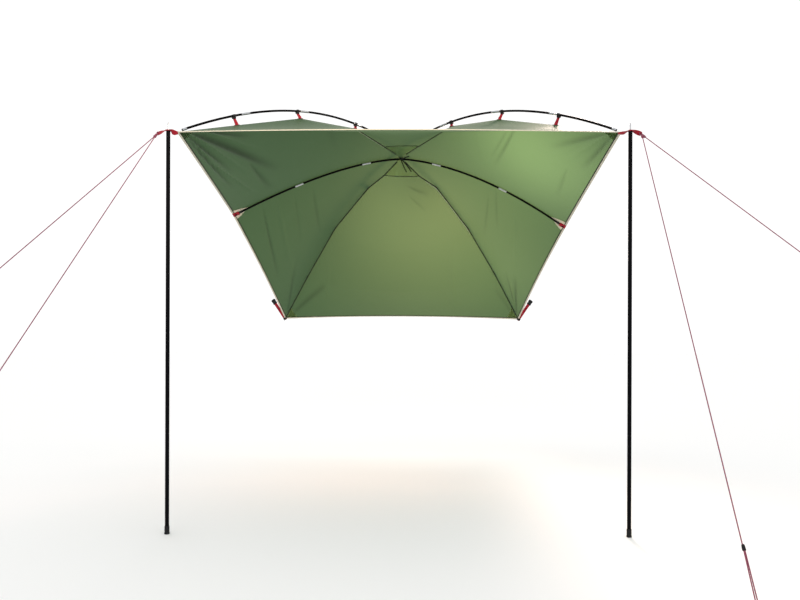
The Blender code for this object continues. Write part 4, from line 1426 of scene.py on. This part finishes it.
@dataclass
class Rods:
    """The two rods that cross above the cloth, their clips, and the rod under the cloth."""

    lines: AwningLines
    radius: float = 0.0063
    ferrule_radius: float = 0.0070
    ferrule_length: float = 0.058
    ferrule_lip: float = 0.98
    tip_length: float = 0.026
    tip_places: tuple[float, float] = (0.004, 0.996)
    ferrule_lip_share: float = 0.02
    rest_play: float = 1.15
    rest_reach: float = 0.08
    arch_sections: int = 8
    cross_sections: int = 5
    clip_slide: Point = (0.000, 0.014, 0.014)
    hook_radius: float = 0.0115
    hook_width: float = 0.021
    hook_arc: tuple[float, float] = (-222, 42)
    look_along: tuple[float, float] = (0.004, 0.03)
    block: tuple[float, float] = (0.023, 0.015)
    block_height: float = 0.0085
    block_gap: float = 0.0010
    block_scales: tuple[float, ...] = (0.86, 0.97, 1.0, 1.0, 1.0, 0.97, 0.86)
    strap_hold: float = 0.0060
    strap_width: float = 0.020
    strap_thickness: float = 0.0016
    strap_swell: tuple[float, float] = (0.9, 0.35)
    tab: tuple[float, float] = (0.014, 0.0012)
    tab_reach: float = 0.016
    cloth_top: float = 0.0006
    pocket_length: float = 0.046
    pocket_mouth: tuple[float, float] = (0.025, 0.0190)
    pocket_end: tuple[float, float] = (0.032, 0.0060)
    pocket_past_tip: float = 0.014
    pocket_lift: float = 0.004
    cap_start: float = 0.054
    tie: tuple[float, float] = (0.012, 0.0016)
    tie_play: tuple[float, float] = (0.0085, 0.0065)
    tape: tuple[float, float] = (0.007, 0.0012)
    knot_band: tuple[float, float] = (0.0042, 0.0012)
    knot_pitch: float = 0.004

    def build(self) -> None:
        """Make the rods, their end tips, the clips, the pockets and the ties."""
        for side in Side:
            self.rod(f"arch_rod_{side.word}", partial(self.lines.arch, side), self.rests(side),
                     self.arch_sections, f"arch_pole_{side.word}")
            for half in Half:
                for number in range(3):
                    self.clip(half, side, number)
        reach = 1 - self.pocket_length / 3 / self.lines.side_half[0]
        self.rod("cross_rod", self.lines.cross, (-reach, reach), self.cross_sections, "cross_pole")
        for side in Side:
            self.pocket(side, reach)
        self.ties()

    def rests(self, side: Side) -> tuple[float, float]:
        """Places along a rod where its two ends come to rest on the seam.

        Args:
            side: The side on which the rod starts.

        Returns:
            The first and the last share of the way.
        """
        ends = []
        for half in Half:
            share = 1 - np.linspace(0.0, self.rest_reach, 801)
            rod, seam = (line(half, side, share)[:, 2] for line in (self.lines.above,
                                                                    self.lines.seam))
            place = share[np.argmax(rod - seam > self.radius * self.rest_play + self.cloth_top)]
            place = self.lines.clip_share(half, side, place)
            ends.append(float(self.lines.corner_share(half, place)))
        return ends[0], ends[1]

    def rod(self, name: str, curve: Curve, ends: tuple[float, float], sections: int,
            node: str) -> None:
        """Make one rod in sections, with a ferrule over each joint and a tip on each bare end.

        Args:
            name: Name of the rod.
            curve: Its middle line.
            ends: Parameters of its two ends.
            sections: How many sections it has.
            node: The CAD node that it stands for.
        """
        path = even_path(curve, *ends, 40 * sections + 1)
        add_piece(name, carried(path, ring_profile(self.radius, 16)), FIBRE_ROD, [node])
        places = [(joint / sections, self.ferrule_length) for joint in range(1, sections)]
        if name.startswith("arch"):
            places += [(share, self.tip_length) for share in self.tip_places]
        sleeves = [self.sleeve(path, share, length) for share, length in places]
        add_piece(name.replace("rod", "ferrules"), join(sleeves), FERRULE_METAL)

    def sleeve(self, path: Array, share: float, length: float) -> Surface:
        """Tube over a rod whose two ends are rolled in to the rod.

        Args:
            path: Points of the rod at even distances.
            share: Share of the way at which its middle is.
            length: Its length.

        Returns:
            The surface.
        """
        span = length / float(lengths_along(path)[-1])
        lip = self.ferrule_lip_share
        steps = np.concatenate([[0.0, lip], np.linspace(0, 1, 13)[1:-1], [1 - lip, 1.0]])
        places = (share + span * (steps - 0.5)).clip(0, 1)
        spots = np.linspace(0, 1, len(path))
        scales = np.ones(len(places))
        scales[[0, -1]] = self.radius * self.ferrule_lip / self.ferrule_radius
        return carried(between(places, spots, path), ring_profile(self.ferrule_radius, 16),
                       scales=scales, way=between(places, spots, np.gradient(path, axis=0)))

    def clip(self, half: Half, side: Side, number: int) -> None:
        """Make one hook over the rod, and the strap that carries the cloth from it.

        Args:
            half: The half of the canopy.
            side: The side on which the rod starts.
            number: The clip's number from the apex, from 0.
        """
        lines, name = self.lines, f"{side.word}_{half.value}_{number + 1}"
        nominal = lines.nominal_clips[number]
        place = lines.corner_share(half, lines.clip_share(half, side, nominal)
                                   + self.clip_slide[number])
        rod_step, seam_step = self.look_along
        before, centre, after = lines.arch(side, place + np.array([-rod_step, 0.0, rod_step]))
        _, level, above = axes(after - before)
        turn = np.radians(np.linspace(*self.hook_arc, 17))[:, None]
        arm = np.cos(turn) * level + np.sin(turn) * above
        shell = carried(centre + (self.radius + self.hook_radius) / 2 * arm,
                        band_profile(self.hook_width, self.hook_radius - self.radius, 16, 0.5),
                        arm, way=np.cos(turn) * above - np.sin(turn) * level)
        block_top = centre - above * (self.radius + self.block_gap)
        block = carried(np.linspace(block_top, block_top - above * self.block_height,
                                    len(self.block_scales)),
                        band_profile(*self.block, 18, 0.5), level,
                        scales=np.array(self.block_scales))
        add_piece(f"clip_hook_{name}", join([shell, block]), BLACK_NYLON)
        ahead, foot, back = lines.seam(half, side,
                                       nominal + np.array([seam_step, 0.0, -seam_step]))
        ahead, back = unit(ahead - foot), unit(back - foot)
        foot = foot + UP * self.cloth_top
        head = block_top - above * self.strap_hold
        drop = np.linspace(0, 1, 15)
        narrow, swell = self.strap_swell
        widths = self.strap_width * (narrow + swell * drop ** 2)
        strap = carried(head + (foot - head) * drop[:, None],
                        sized(band_profile(1.0, self.strap_thickness, 14, 0.3), widths, 1.0),
                        level)
        along = np.linspace(-self.tab_reach, self.tab_reach, 9)[:, None]
        path = foot + UP * self.tab[1] / 2 + np.where(along > 0, ahead, back) * np.abs(along)
        base = carried(path, band_profile(*self.tab, 12, 0.3))
        add_piece(f"clip_strap_{name}", join([strap, base]), RED_WEBBING, [f"clip_{name}"])

    def pocket(self, side: Side, reach: float) -> None:
        """Make the red webbing pocket over one end of the rod, and the rod's black cap in it.

        Args:
            side: The side.
            reach: Where the rod ends, as a share of the way to the edge.
        """
        tip = self.lines.cross(side.value * reach)
        way = unit(tip - self.lines.cross(side.value * (reach - 0.01)))
        edge = (self.lines.seam(Half.REAR, side.other, END)
                - self.lines.seam(Half.FRONT, side, END))
        cloth = unit(np.cross(edge, way)) * -side.value
        drop = np.linspace(0, 1, 17)
        path = tip + way * (self.pocket_past_tip - self.pocket_length * drop)[:, None]
        path = path + UP * (self.pocket_lift * (1 - drop))[:, None]
        flat = ease(1.25 - 1.25 * drop)[:, None, None]
        sleeve = (band_profile(*self.pocket_mouth, 20, 0.7) * (1 - flat)
                  + band_profile(*self.pocket_end, 20, 0.35) * flat)
        add_piece(f"rod_pocket_{side.word}", carried(path, sleeve, cloth), RED_WEBBING,
                  [f"side_pocket_{side.word}"])
        add_piece(f"rod_cap_{side.word}",
                  turned(CAP_PROFILE, tip - way * self.cap_start, way, 20), BLACK_NYLON)

    def ties(self) -> None:
        """Make the tape that ties the rods at the crossing, and the tape ends under the apex."""
        apex = self.lines.apex
        upper = float(self.lines.arch(Side.LEFT, self.lines.apex_share)[2])
        lower = float(apex[2]) + self.cloth_top
        turn = np.linspace(0, 2 * np.pi, 33)[:-1]
        aside, beyond = self.tie_play
        rise = (upper + lower) / 2 + ((upper - lower) / 2 + beyond) * np.cos(turn)
        loop = np.stack([apex[0] + aside * np.sin(turn), np.full(32, apex[1]),
                         np.maximum(rise, lower + self.cloth_top)], axis=1)
        strap = carried(loop, band_profile(*self.tie, 12, 0.3), BACK, loop=True)
        add_piece("crossing_tie", strap, BLACK_TAPE, ["apex_tie"])
        rod = self.lines.cross(START)
        for name, offsets in TAPE_ENDS.items():
            path = bent_path(rod + np.array(offsets), 21, 20)
            tape = carried(path, band_profile(*self.tape, 12, 0.3), -BACK)
            add_piece(f"apex_tape_{name}", tape, BLACK_TAPE)
        knot = helix(rod - ACROSS * self.knot_pitch, ACROSS, self.radius + 0.0008,
                     self.knot_pitch, 2, 48)
        add_piece("apex_tape_knot", carried(knot, band_profile(*self.knot_band, 10, 0.5), ACROSS),
                  BLACK_TAPE)


@dataclass
class FrontPole:
    """One steel pole with its foot, its spike and the corner webbing that hangs on the spike."""

    lines: AwningLines
    side: Side
    radius: float = 0.0106
    sections: int = 4
    foot_height: float = 0.042
    foot_radii: tuple[float, float] = (0.0138, 0.0126)
    foot_sole: float = 0.0058
    foot_ribs: Point = (0.018, 0.025, 0.032)
    spike_radius: float = 0.004
    spike_height: float = 0.046
    spike_depth: float = 0.028
    webbing_width: float = 0.028
    webbing: float = 0.0022
    webbing_rise: float = 0.0016
    doubled_size: tuple[float, float] = (0.86, 1.9)
    narrowing: float = 0.38
    past_corner: tuple[float, float] = (0.005, 0.018)
    corner_height: float = 2.0890
    twists: tuple[tuple[float, float], ...] = ((60, 55), (-24, 60))
    loop_end: tuple[float, float] = (0.0490, -0.0135)
    loop_radius: float = 0.0034
    loop_width: float = 0.80
    loop_thickness: float = 0.0014
    eyelet_rise: float = 0.0032

    @property
    def base(self) -> Array:
        """Middle of the foot's underside."""
        return ACROSS * (self.lines.middle_x + self.side.value * self.lines.pole_spacing / 2)

    def build(self) -> None:
        """Make the tube, its foot, its spike and the webbing."""
        self.tube()
        self.foot()
        self.spike()
        self.corner_webbing()

    def turn(self, name: str, profile: Sequence[tuple[float, float]], finish: Finish, node: str,
             sides: int = 32) -> None:
        """Turn one piece about the pole's axis.

        Args:
            name: Name of the piece, without its side.
            profile: Its radii and heights.
            finish: What it is made of.
            node: The CAD node that it stands for, without its side.
            sides: How many points round it.
        """
        word = self.side.word
        add_piece(f"{name}_{word}", turned(profile, self.base, sides=sides), finish,
                  [f"{node}_{word}"])

    def tube(self) -> None:
        """Make the tube: each upper section is swaged to slip over the one below it."""
        top, r, bore = self.lines.pole_height, self.radius, self.spike_radius + 0.0004
        profile = [(0.0, 0.0064), (r - 0.0006, 0.0064), (r, 0.0074)]
        for joint in np.linspace(0, top, self.sections + 1)[1:-1]:
            profile += [(r + out, joint + rise) for out, rise in SWAGE]
        profile += [(r, top - 0.0010), (r - 0.0010, top), (bore, top),
                    (bore, top - self.spike_depth), (0.0, top - self.spike_depth)]
        self.turn("pole_tube", profile, POWDER_COAT, "front_pole")

    def foot(self) -> None:
        """Make the cap that the pole stands in: flared, with three grip ribs."""
        (low, high), bore, top = self.foot_radii, self.radius + 0.0002, self.foot_height
        profile = [(0.0, 0.0), (low - 0.0012, 0.0), (low, 0.0012), (low, 0.0060), (high, 0.0120)]
        for rib in self.foot_ribs:
            profile += [(high, rib - 0.0016), (high + 0.0007, rib - 0.0007),
                        (high + 0.0007, rib + 0.0007), (high, rib + 0.0016)]
        profile += [(high, top - 0.001), (high - 0.0008, top), (bore, top),
                    (bore, self.foot_sole), (0.0, self.foot_sole)]
        self.turn("foot_cap", profile, BLACK_NYLON, "pole_foot")

    def spike(self) -> None:
        """Make the pin with its collar and domed point."""
        top, r, bottom = self.lines.pole_height, self.spike_radius, 0.0004 - self.spike_depth
        profile = [(radius, top + rise) for radius, rise in (
            (0.0, bottom), (r - 0.0002, bottom), (r - 0.0002, -0.0002), (r + 0.0022, 0.0001),
            (r + 0.0022, 0.0003), (r - 0.0002, 0.0003), (r - 0.0002, 0.0340), (r - 0.0012, 0.0410),
            (r * 0.5, 0.0450), (0.0, self.spike_height))]
        self.turn("spike_pin", profile, FERRULE_METAL, "pole_spike", 24)

    def corner_webbing(self) -> None:
        """Make the webbing over the spike: it lies flat on the pole and its two legs turn on edge.

        The outer leg is doubled and ends in a loop for the guy lines.
        """
        side, word, middle = self.side.value, self.side.word, self.base
        top = self.lines.pole_height + self.webbing_rise
        inside = abs(self.lines.seam(Half.FRONT, self.side, END)[0] - middle[0])
        out, drop = self.loop_end
        inner = [(-0.006, 0.0, top), (0.012, 0.0, top), (0.030, -0.002, top - 0.0110),
                 (inside + self.side.of(self.past_corner), -0.003, self.corner_height)]
        outer = [(-0.010, 0.0, top + 0.0024), (0.010, 0.0, top + 0.0024),
                 (0.026, 0.0, top - 0.0040), (out, 0.0, top + drop)]
        inner = bent_path(middle + np.array(inner) * (-side, 1, 1), 29, 10)
        outer = bent_path(middle + np.array(outer) * (side, 1, 1), 29, 12)
        share = np.linspace(0, 1, 29)
        inner_twist, outer_twist = self.side.of(self.twists)
        width = self.webbing_width
        narrower, thicker = self.doubled_size
        flat = band_profile(width, self.webbing, 18, 0.25)
        doubled = band_profile(width * narrower, self.webbing * thicker, 18, 0.25)
        legs = [carried(inner, rolled(flat, inner_twist * ease(share * 2.2 - 0.3)),
                        scales=1 - self.narrowing * ease(share * 3 - 2)),
                carried(outer, rolled(doubled, outer_twist * ease(share * 1.4 - 0.3)))]
        way, level, above = axes(outer[-1] - outer[-2])
        angle = math.radians(outer_twist)
        thick = above * math.cos(angle) - level * math.sin(angle)
        turn = np.linspace(0, 2 * np.pi, 25)[:-1, None]
        arm = np.cos(turn) * way + np.sin(turn) * thick
        loop = carried(outer[-1] + (way + arm) * self.loop_radius,
                       band_profile(width * self.loop_width, self.loop_thickness, 18, 0.25),
                       arm, loop=True)
        add_piece(f"corner_strap_{word}", join([*legs, loop]), RED_WEBBING,
                  [f"corner_webbing_{word}"])
        bore = self.spike_radius + HAIR
        eyelet = turned([(bore, 0.0014), (0.0052, 0.0026), (0.0078, 0.0020), (0.0084, 0.0009),
                         (0.0078, 0.0004), (bore, 0.0004), (bore, 0.0014)],
                        middle + UP * (top + self.eyelet_rise))
        add_piece(f"eyelet_{word}", eyelet, FERRULE_METAL)


@dataclass
class GuyLine:
    """One taut guy line from a corner loop to a peg, with its runner and knots."""

    lines: AwningLines
    side: Side
    place: str
    radius: float = 0.0024
    peg_distance: float = 1.500
    loop_reach: float = 0.043
    loop_drop: float = 0.007
    loop_slope: float = -0.55
    rim: float = 0.0168
    noose_radius: float = 0.0062
    noose_back: float = 0.006
    knot_start: float = 0.006
    knot_radius: float = 1.9
    knot_pitch: float = 2.1
    line_gap: float = 0.012
    bend_gap: float = 0.01
    tuck: float = 0.004
    eye_height: float = 0.018
    runner_share: float = 0.840
    runner_half: float = 0.013
    runner_size: Point = (0.012, 0.003, 0.0055)
    runner_offset: float = 0.0015
    peg_radius: float = 0.003
    peg_height: float = 0.040
    peg_hook: float = 0.010

    def build(self) -> None:
        """Make the line, its knots, its runner and its peg."""
        side, name, radius = self.side.value, f"{self.side.word}_{self.place}", self.radius
        x = self.lines.middle_x + side * (self.lines.pole_spacing / 2 + self.loop_reach)
        slope = unit(np.array([side, 0.0, self.loop_slope]))
        top = np.array([x, LINE_SPREADS[self.place], self.lines.pole_height - self.loop_drop])
        top = top + slope * self.rim
        peg = np.array([x + side * PEG_REACHES[self.side][self.place], -self.peg_distance, 0.0])
        eye = peg + UP * self.eye_height
        way, level, _ = axes(eye - top)
        plan = unit(way * (1, 1, 0))
        runner = top + (eye - top) * self.runner_share
        turn = np.linspace(0, np.pi, 13)[:, None]
        bend = eye + (self.peg_radius + radius + HAIR) * (level * np.cos(turn)
                                                          + plan * np.sin(turn))
        path = np.concatenate([
            np.linspace(top - way * self.tuck, runner - way * self.line_gap, 120),
            np.linspace(runner + way * self.line_gap, bend[0] - way * self.bend_gap, 24), bend,
            np.linspace(bend[-1] - way * self.bend_gap, runner + (way - level) * self.tuck, 24)])
        add_piece(f"stay_line_{name}", carried(path, ring_profile(radius, 10)), RED_CORD,
                  [f"guy_line_{name}"])
        hitch = np.linspace(0, 2 * np.pi, 25)[:-1, None]
        noose = np.cos(hitch) * slope + np.sin(hitch) * np.cross(slope, BACK)
        noose = top - slope * self.noose_back + self.noose_radius * noose
        coil = helix(top + way * self.knot_start, way, radius * self.knot_radius,
                     radius * self.knot_pitch, 4, 70)
        knots = [carried(coil, ring_profile(radius, 8)),
                 carried(noose, ring_profile(radius, 8), BACK, loop=True)]
        add_piece(f"stay_knot_{name}", join(knots), RED_CORD)
        self.runner(name, runner, way, level)
        turn = np.radians(np.linspace(180, -10, 21))[:, None]
        hook = peg + UP * self.peg_height + self.peg_hook * (plan * (1 + np.cos(turn))
                                                             + UP * np.sin(turn))
        shank = np.linspace(peg, peg + UP * self.peg_height * 0.95, 6)
        shank = carried(np.concatenate([shank, hook]), ring_profile(self.peg_radius, 14), level)
        add_piece(f"ground_peg_{name}", shank, ZINC_WIRE, [f"peg_{name}"])

    def runner(self, name: str, centre: Array, way: Array, level: Array) -> None:
        """Make the flat runner: a rounded bar whose width swells towards its lower end.

        Args:
            name: Name of the guy line.
            centre: Its middle.
            way: Direction of the line.
            level: Level direction across the line.
        """
        half = self.runner_half
        along = np.linspace(-half, half, 15)
        ends = np.sqrt(np.clip(1 - (np.abs(along) / (half + HAIR)) ** 6, 0.02, 1))
        width, swell, thick = self.runner_size
        widths = width + swell * ease((along + half) / (2 * half))
        profile = sized(band_profile(1.0, 1.0, 20, 0.5), widths * ends, thick * ends)
        path = centre + way * along[:, None] - level * self.runner_offset
        add_piece(f"stay_runner_{name}", carried(path, profile), BLACK_NYLON)


@dataclass
class RearStrap:
    """Strap from one rear corner up to its anchor, with the hook on its end."""

    lines: AwningLines
    side: Side
    length: float = 0.160
    start: float = 0.0012
    overlap: float = 0.010
    width: float = 0.023
    thickness: float = 0.0020
    sag: float = 0.003
    doubled_from: float = 0.72
    doubled_gap: float = 0.9
    knot: Point = (0.008, 0.0095, 0.0062)
    knot_band: tuple[float, float] = (0.009, 0.004)
    way: Point = (0.55, 0.40, 0.73)
    hook: Point = (0.042, 0.034, 0.014)
    hook_overlap: float = 0.006
    waist: Point = (0.16, 0.42, 0.14)
    ridges: Point = (0.62, 0.72, 0.82)
    ridge_radius: float = 0.0012
    ridge_place: tuple[float, float] = (0.40, 0.47)

    def build(self) -> None:
        """Make the strap with its folded end, the knot at the corner and the moulded hook."""
        word, corner = self.side.word, self.lines.seam(Half.REAR, self.side.other, END)
        way, level, above = axes(np.array(self.way) * (self.side.value, 1, 1), -BACK)
        share = np.linspace(0, 1, 25)[:, None]
        path = corner + way * (self.start - self.overlap + (self.length + self.overlap) * share)
        path = path - above * self.sag * np.sin(np.pi * share)
        place = self.doubled_from + (1 - self.doubled_from) * share
        doubled = corner + way * (self.length * place) + above * self.thickness * self.doubled_gap
        profile = band_profile(self.width, self.thickness, 18, 0.25)
        add_piece(f"rear_webbing_{word}",
                  join([carried(points, profile, -BACK) for points in (path, doubled)]),
                  RED_WEBBING, [f"rear_strap_{word}"])
        back, radius, pitch = self.knot
        knot = helix(corner - way * back, way, radius, pitch, 2.5, 60)
        add_piece(f"corner_knot_{word}", carried(knot, band_profile(*self.knot_band, 12, 0.6), way),
                  BLACK_TAPE)
        length, width, thick = self.hook
        along = np.linspace(0, 1, 21)
        ends = np.sqrt(np.clip(1 - np.abs(2 * along - 1) ** 8, 0.03, 1))
        deep, middle, reach = self.waist
        waist = 1 - deep * np.exp(-(((along - middle) / reach) ** 2))
        path = corner + way * (self.length + HAIR - self.hook_overlap
                               + (length + self.hook_overlap) * along[:, None])
        body = carried(path, sized(band_profile(1.0, 1.0, 24, 0.45), width * ends * waist,
                                   thick * ends), -BACK)
        aside, out = self.ridge_place
        ridge = level * width * aside * np.linspace(-1, 1, 9)[:, None] + above * thick * out
        ridges = [carried(corner + way * (self.length + length * place) + ridge,
                          ring_profile(self.ridge_radius, 10)) for place in self.ridges]
        add_piece(f"rear_moulded_hook_{word}", join([body, *ridges]), BLACK_NYLON,
                  [f"rear_hook_{word}"])


# ---- Studio

@dataclass(frozen=True)
class Softbox:
    """One square lamp: where it hangs, what it faces, its size, watts, grid angle and colour."""

    name: str
    place: Point
    aim: Point
    size: float
    watts: float
    spread: float
    colour: str

    def hang(self) -> None:
        """Add the lamp to the scene, unseen by the camera."""
        data = bpy.data.lights.new(self.name, "AREA")
        data.energy, data.size, data.spread = self.watts, self.size, math.radians(self.spread)
        data.color = linear(self.colour)[:3]
        lamp = bpy.data.objects.new(self.name, data)
        front, level, above = axes(np.array(self.aim) - np.array(self.place))
        turn = Matrix(np.stack([level, above, -front], axis=1).tolist()).to_4x4()
        lamp.matrix_world = Matrix.Translation(self.place) @ turn
        lamp.visible_camera = False
        bpy.context.scene.collection.objects.link(lamp)


SOFTBOXES = (
    Softbox("rear_softbox", (1.43, 2.02, 2.33), (1.38, 1.50, 1.80), 0.4, 10.9, 120.0, "ffccbf"),
    Softbox("fill_softbox", (2.00, 3.40, 2.50), (1.30, 1.60, 1.65), 1.2, 13.2, 64.0, "ffc9b1"),
    Softbox("top_softbox", (2.40, 0.90, 2.74), (1.98, 0.50, 2.08), 0.4, 20.0, 120.0, "ffe8dc"),
    Softbox("side_softbox", (2.25, 2.30, 1.95), (1.95, 1.55, 1.55), 0.4, 7.0, 120.0, "ffe8d8"),
    Softbox("ridge_softbox", (0.90, -2.20, 2.90), (0.90, 0.45, 2.23), 1.2, 12.0, 60.0, "ffe6c4"))


@dataclass
class Studio:
    """Plain pale floor, soft lights and the camera at the photograph's place."""

    camera_place: Point = (1.2585, -4.0205, 1.2227)
    yaw: float = 0.0119
    roll: float = -0.0033
    focal_pixels: float = 774.29
    image_width: float = 800.0
    sensor: float = 36.0
    floor_half: float = 14.0
    sky: float = 1.08

    def build(self) -> None:
        """Make the floor, the sky, the lights and the camera."""
        self.floor()
        self.light_sky()
        for softbox in SOFTBOXES:
            softbox.hang()
        self.camera()

    def floor(self) -> None:
        """Make the pale floor as one flat square."""
        corners = [(x * self.floor_half, y * self.floor_half, 0.0)
                   for x, y in ((-1, -1), (1, -1), (1, 1), (-1, 1))]
        mesh = bpy.data.meshes.new("studio_floor")
        mesh.from_pydata(corners, [], [(0, 1, 2, 3)])
        material = bpy.data.materials.new("studio_paper")
        material.use_nodes = True
        feed(material.node_tree.nodes["Principled BSDF"],
             {"Base Color": linear("f7f7f6"), "Roughness": 0.9})
        mesh.materials.append(material)
        floor = bpy.data.objects.new("studio_floor", mesh)
        bpy.context.scene.collection.objects.link(floor)

    def light_sky(self) -> None:
        """Light the scene evenly from all round."""
        world = bpy.data.worlds.new("studio")
        world.use_nodes = True
        feed(world.node_tree.nodes["Background"], {"Color": linear("ffffff"),
                                                   "Strength": self.sky})
        bpy.context.scene.world = world

    def camera(self) -> None:
        """Place the camera: turned about the vertical by yaw, then about its own view by roll."""
        data = bpy.data.cameras.new("photo_camera")
        data.sensor_width = self.sensor
        data.lens = self.focal_pixels * self.sensor / self.image_width
        camera = bpy.data.objects.new("photo_camera", data)
        turn = Matrix.Rotation(self.yaw, 4, "Z") @ Matrix.Rotation(self.roll, 4, "Y")
        camera.matrix_world = (Matrix.Translation(self.camera_place) @ turn
                               @ Matrix.Rotation(math.pi / 2, 4, "X"))
        bpy.context.scene.collection.objects.link(camera)
        bpy.context.scene.camera = camera
        bpy.context.scene.view_settings.view_transform = "Standard"


def main() -> None:
    """Dress the awning: studio, rods, canopy, poles, rear straps and guy lines, in that order."""
    logging.basicConfig(level=logging.INFO, format="%(name)s: %(message)s")
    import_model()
    lines = AwningLines()
    Studio().build()
    Rods(lines).build()
    Canopy(lines).build()
    for side in Side:
        FrontPole(lines, side).build()
        RearStrap(lines, side).build()
    for side in Side:
        for place in LINE_SPREADS:
            GuyLine(lines, side, place).build()


if __name__ == "__main__":
    main()
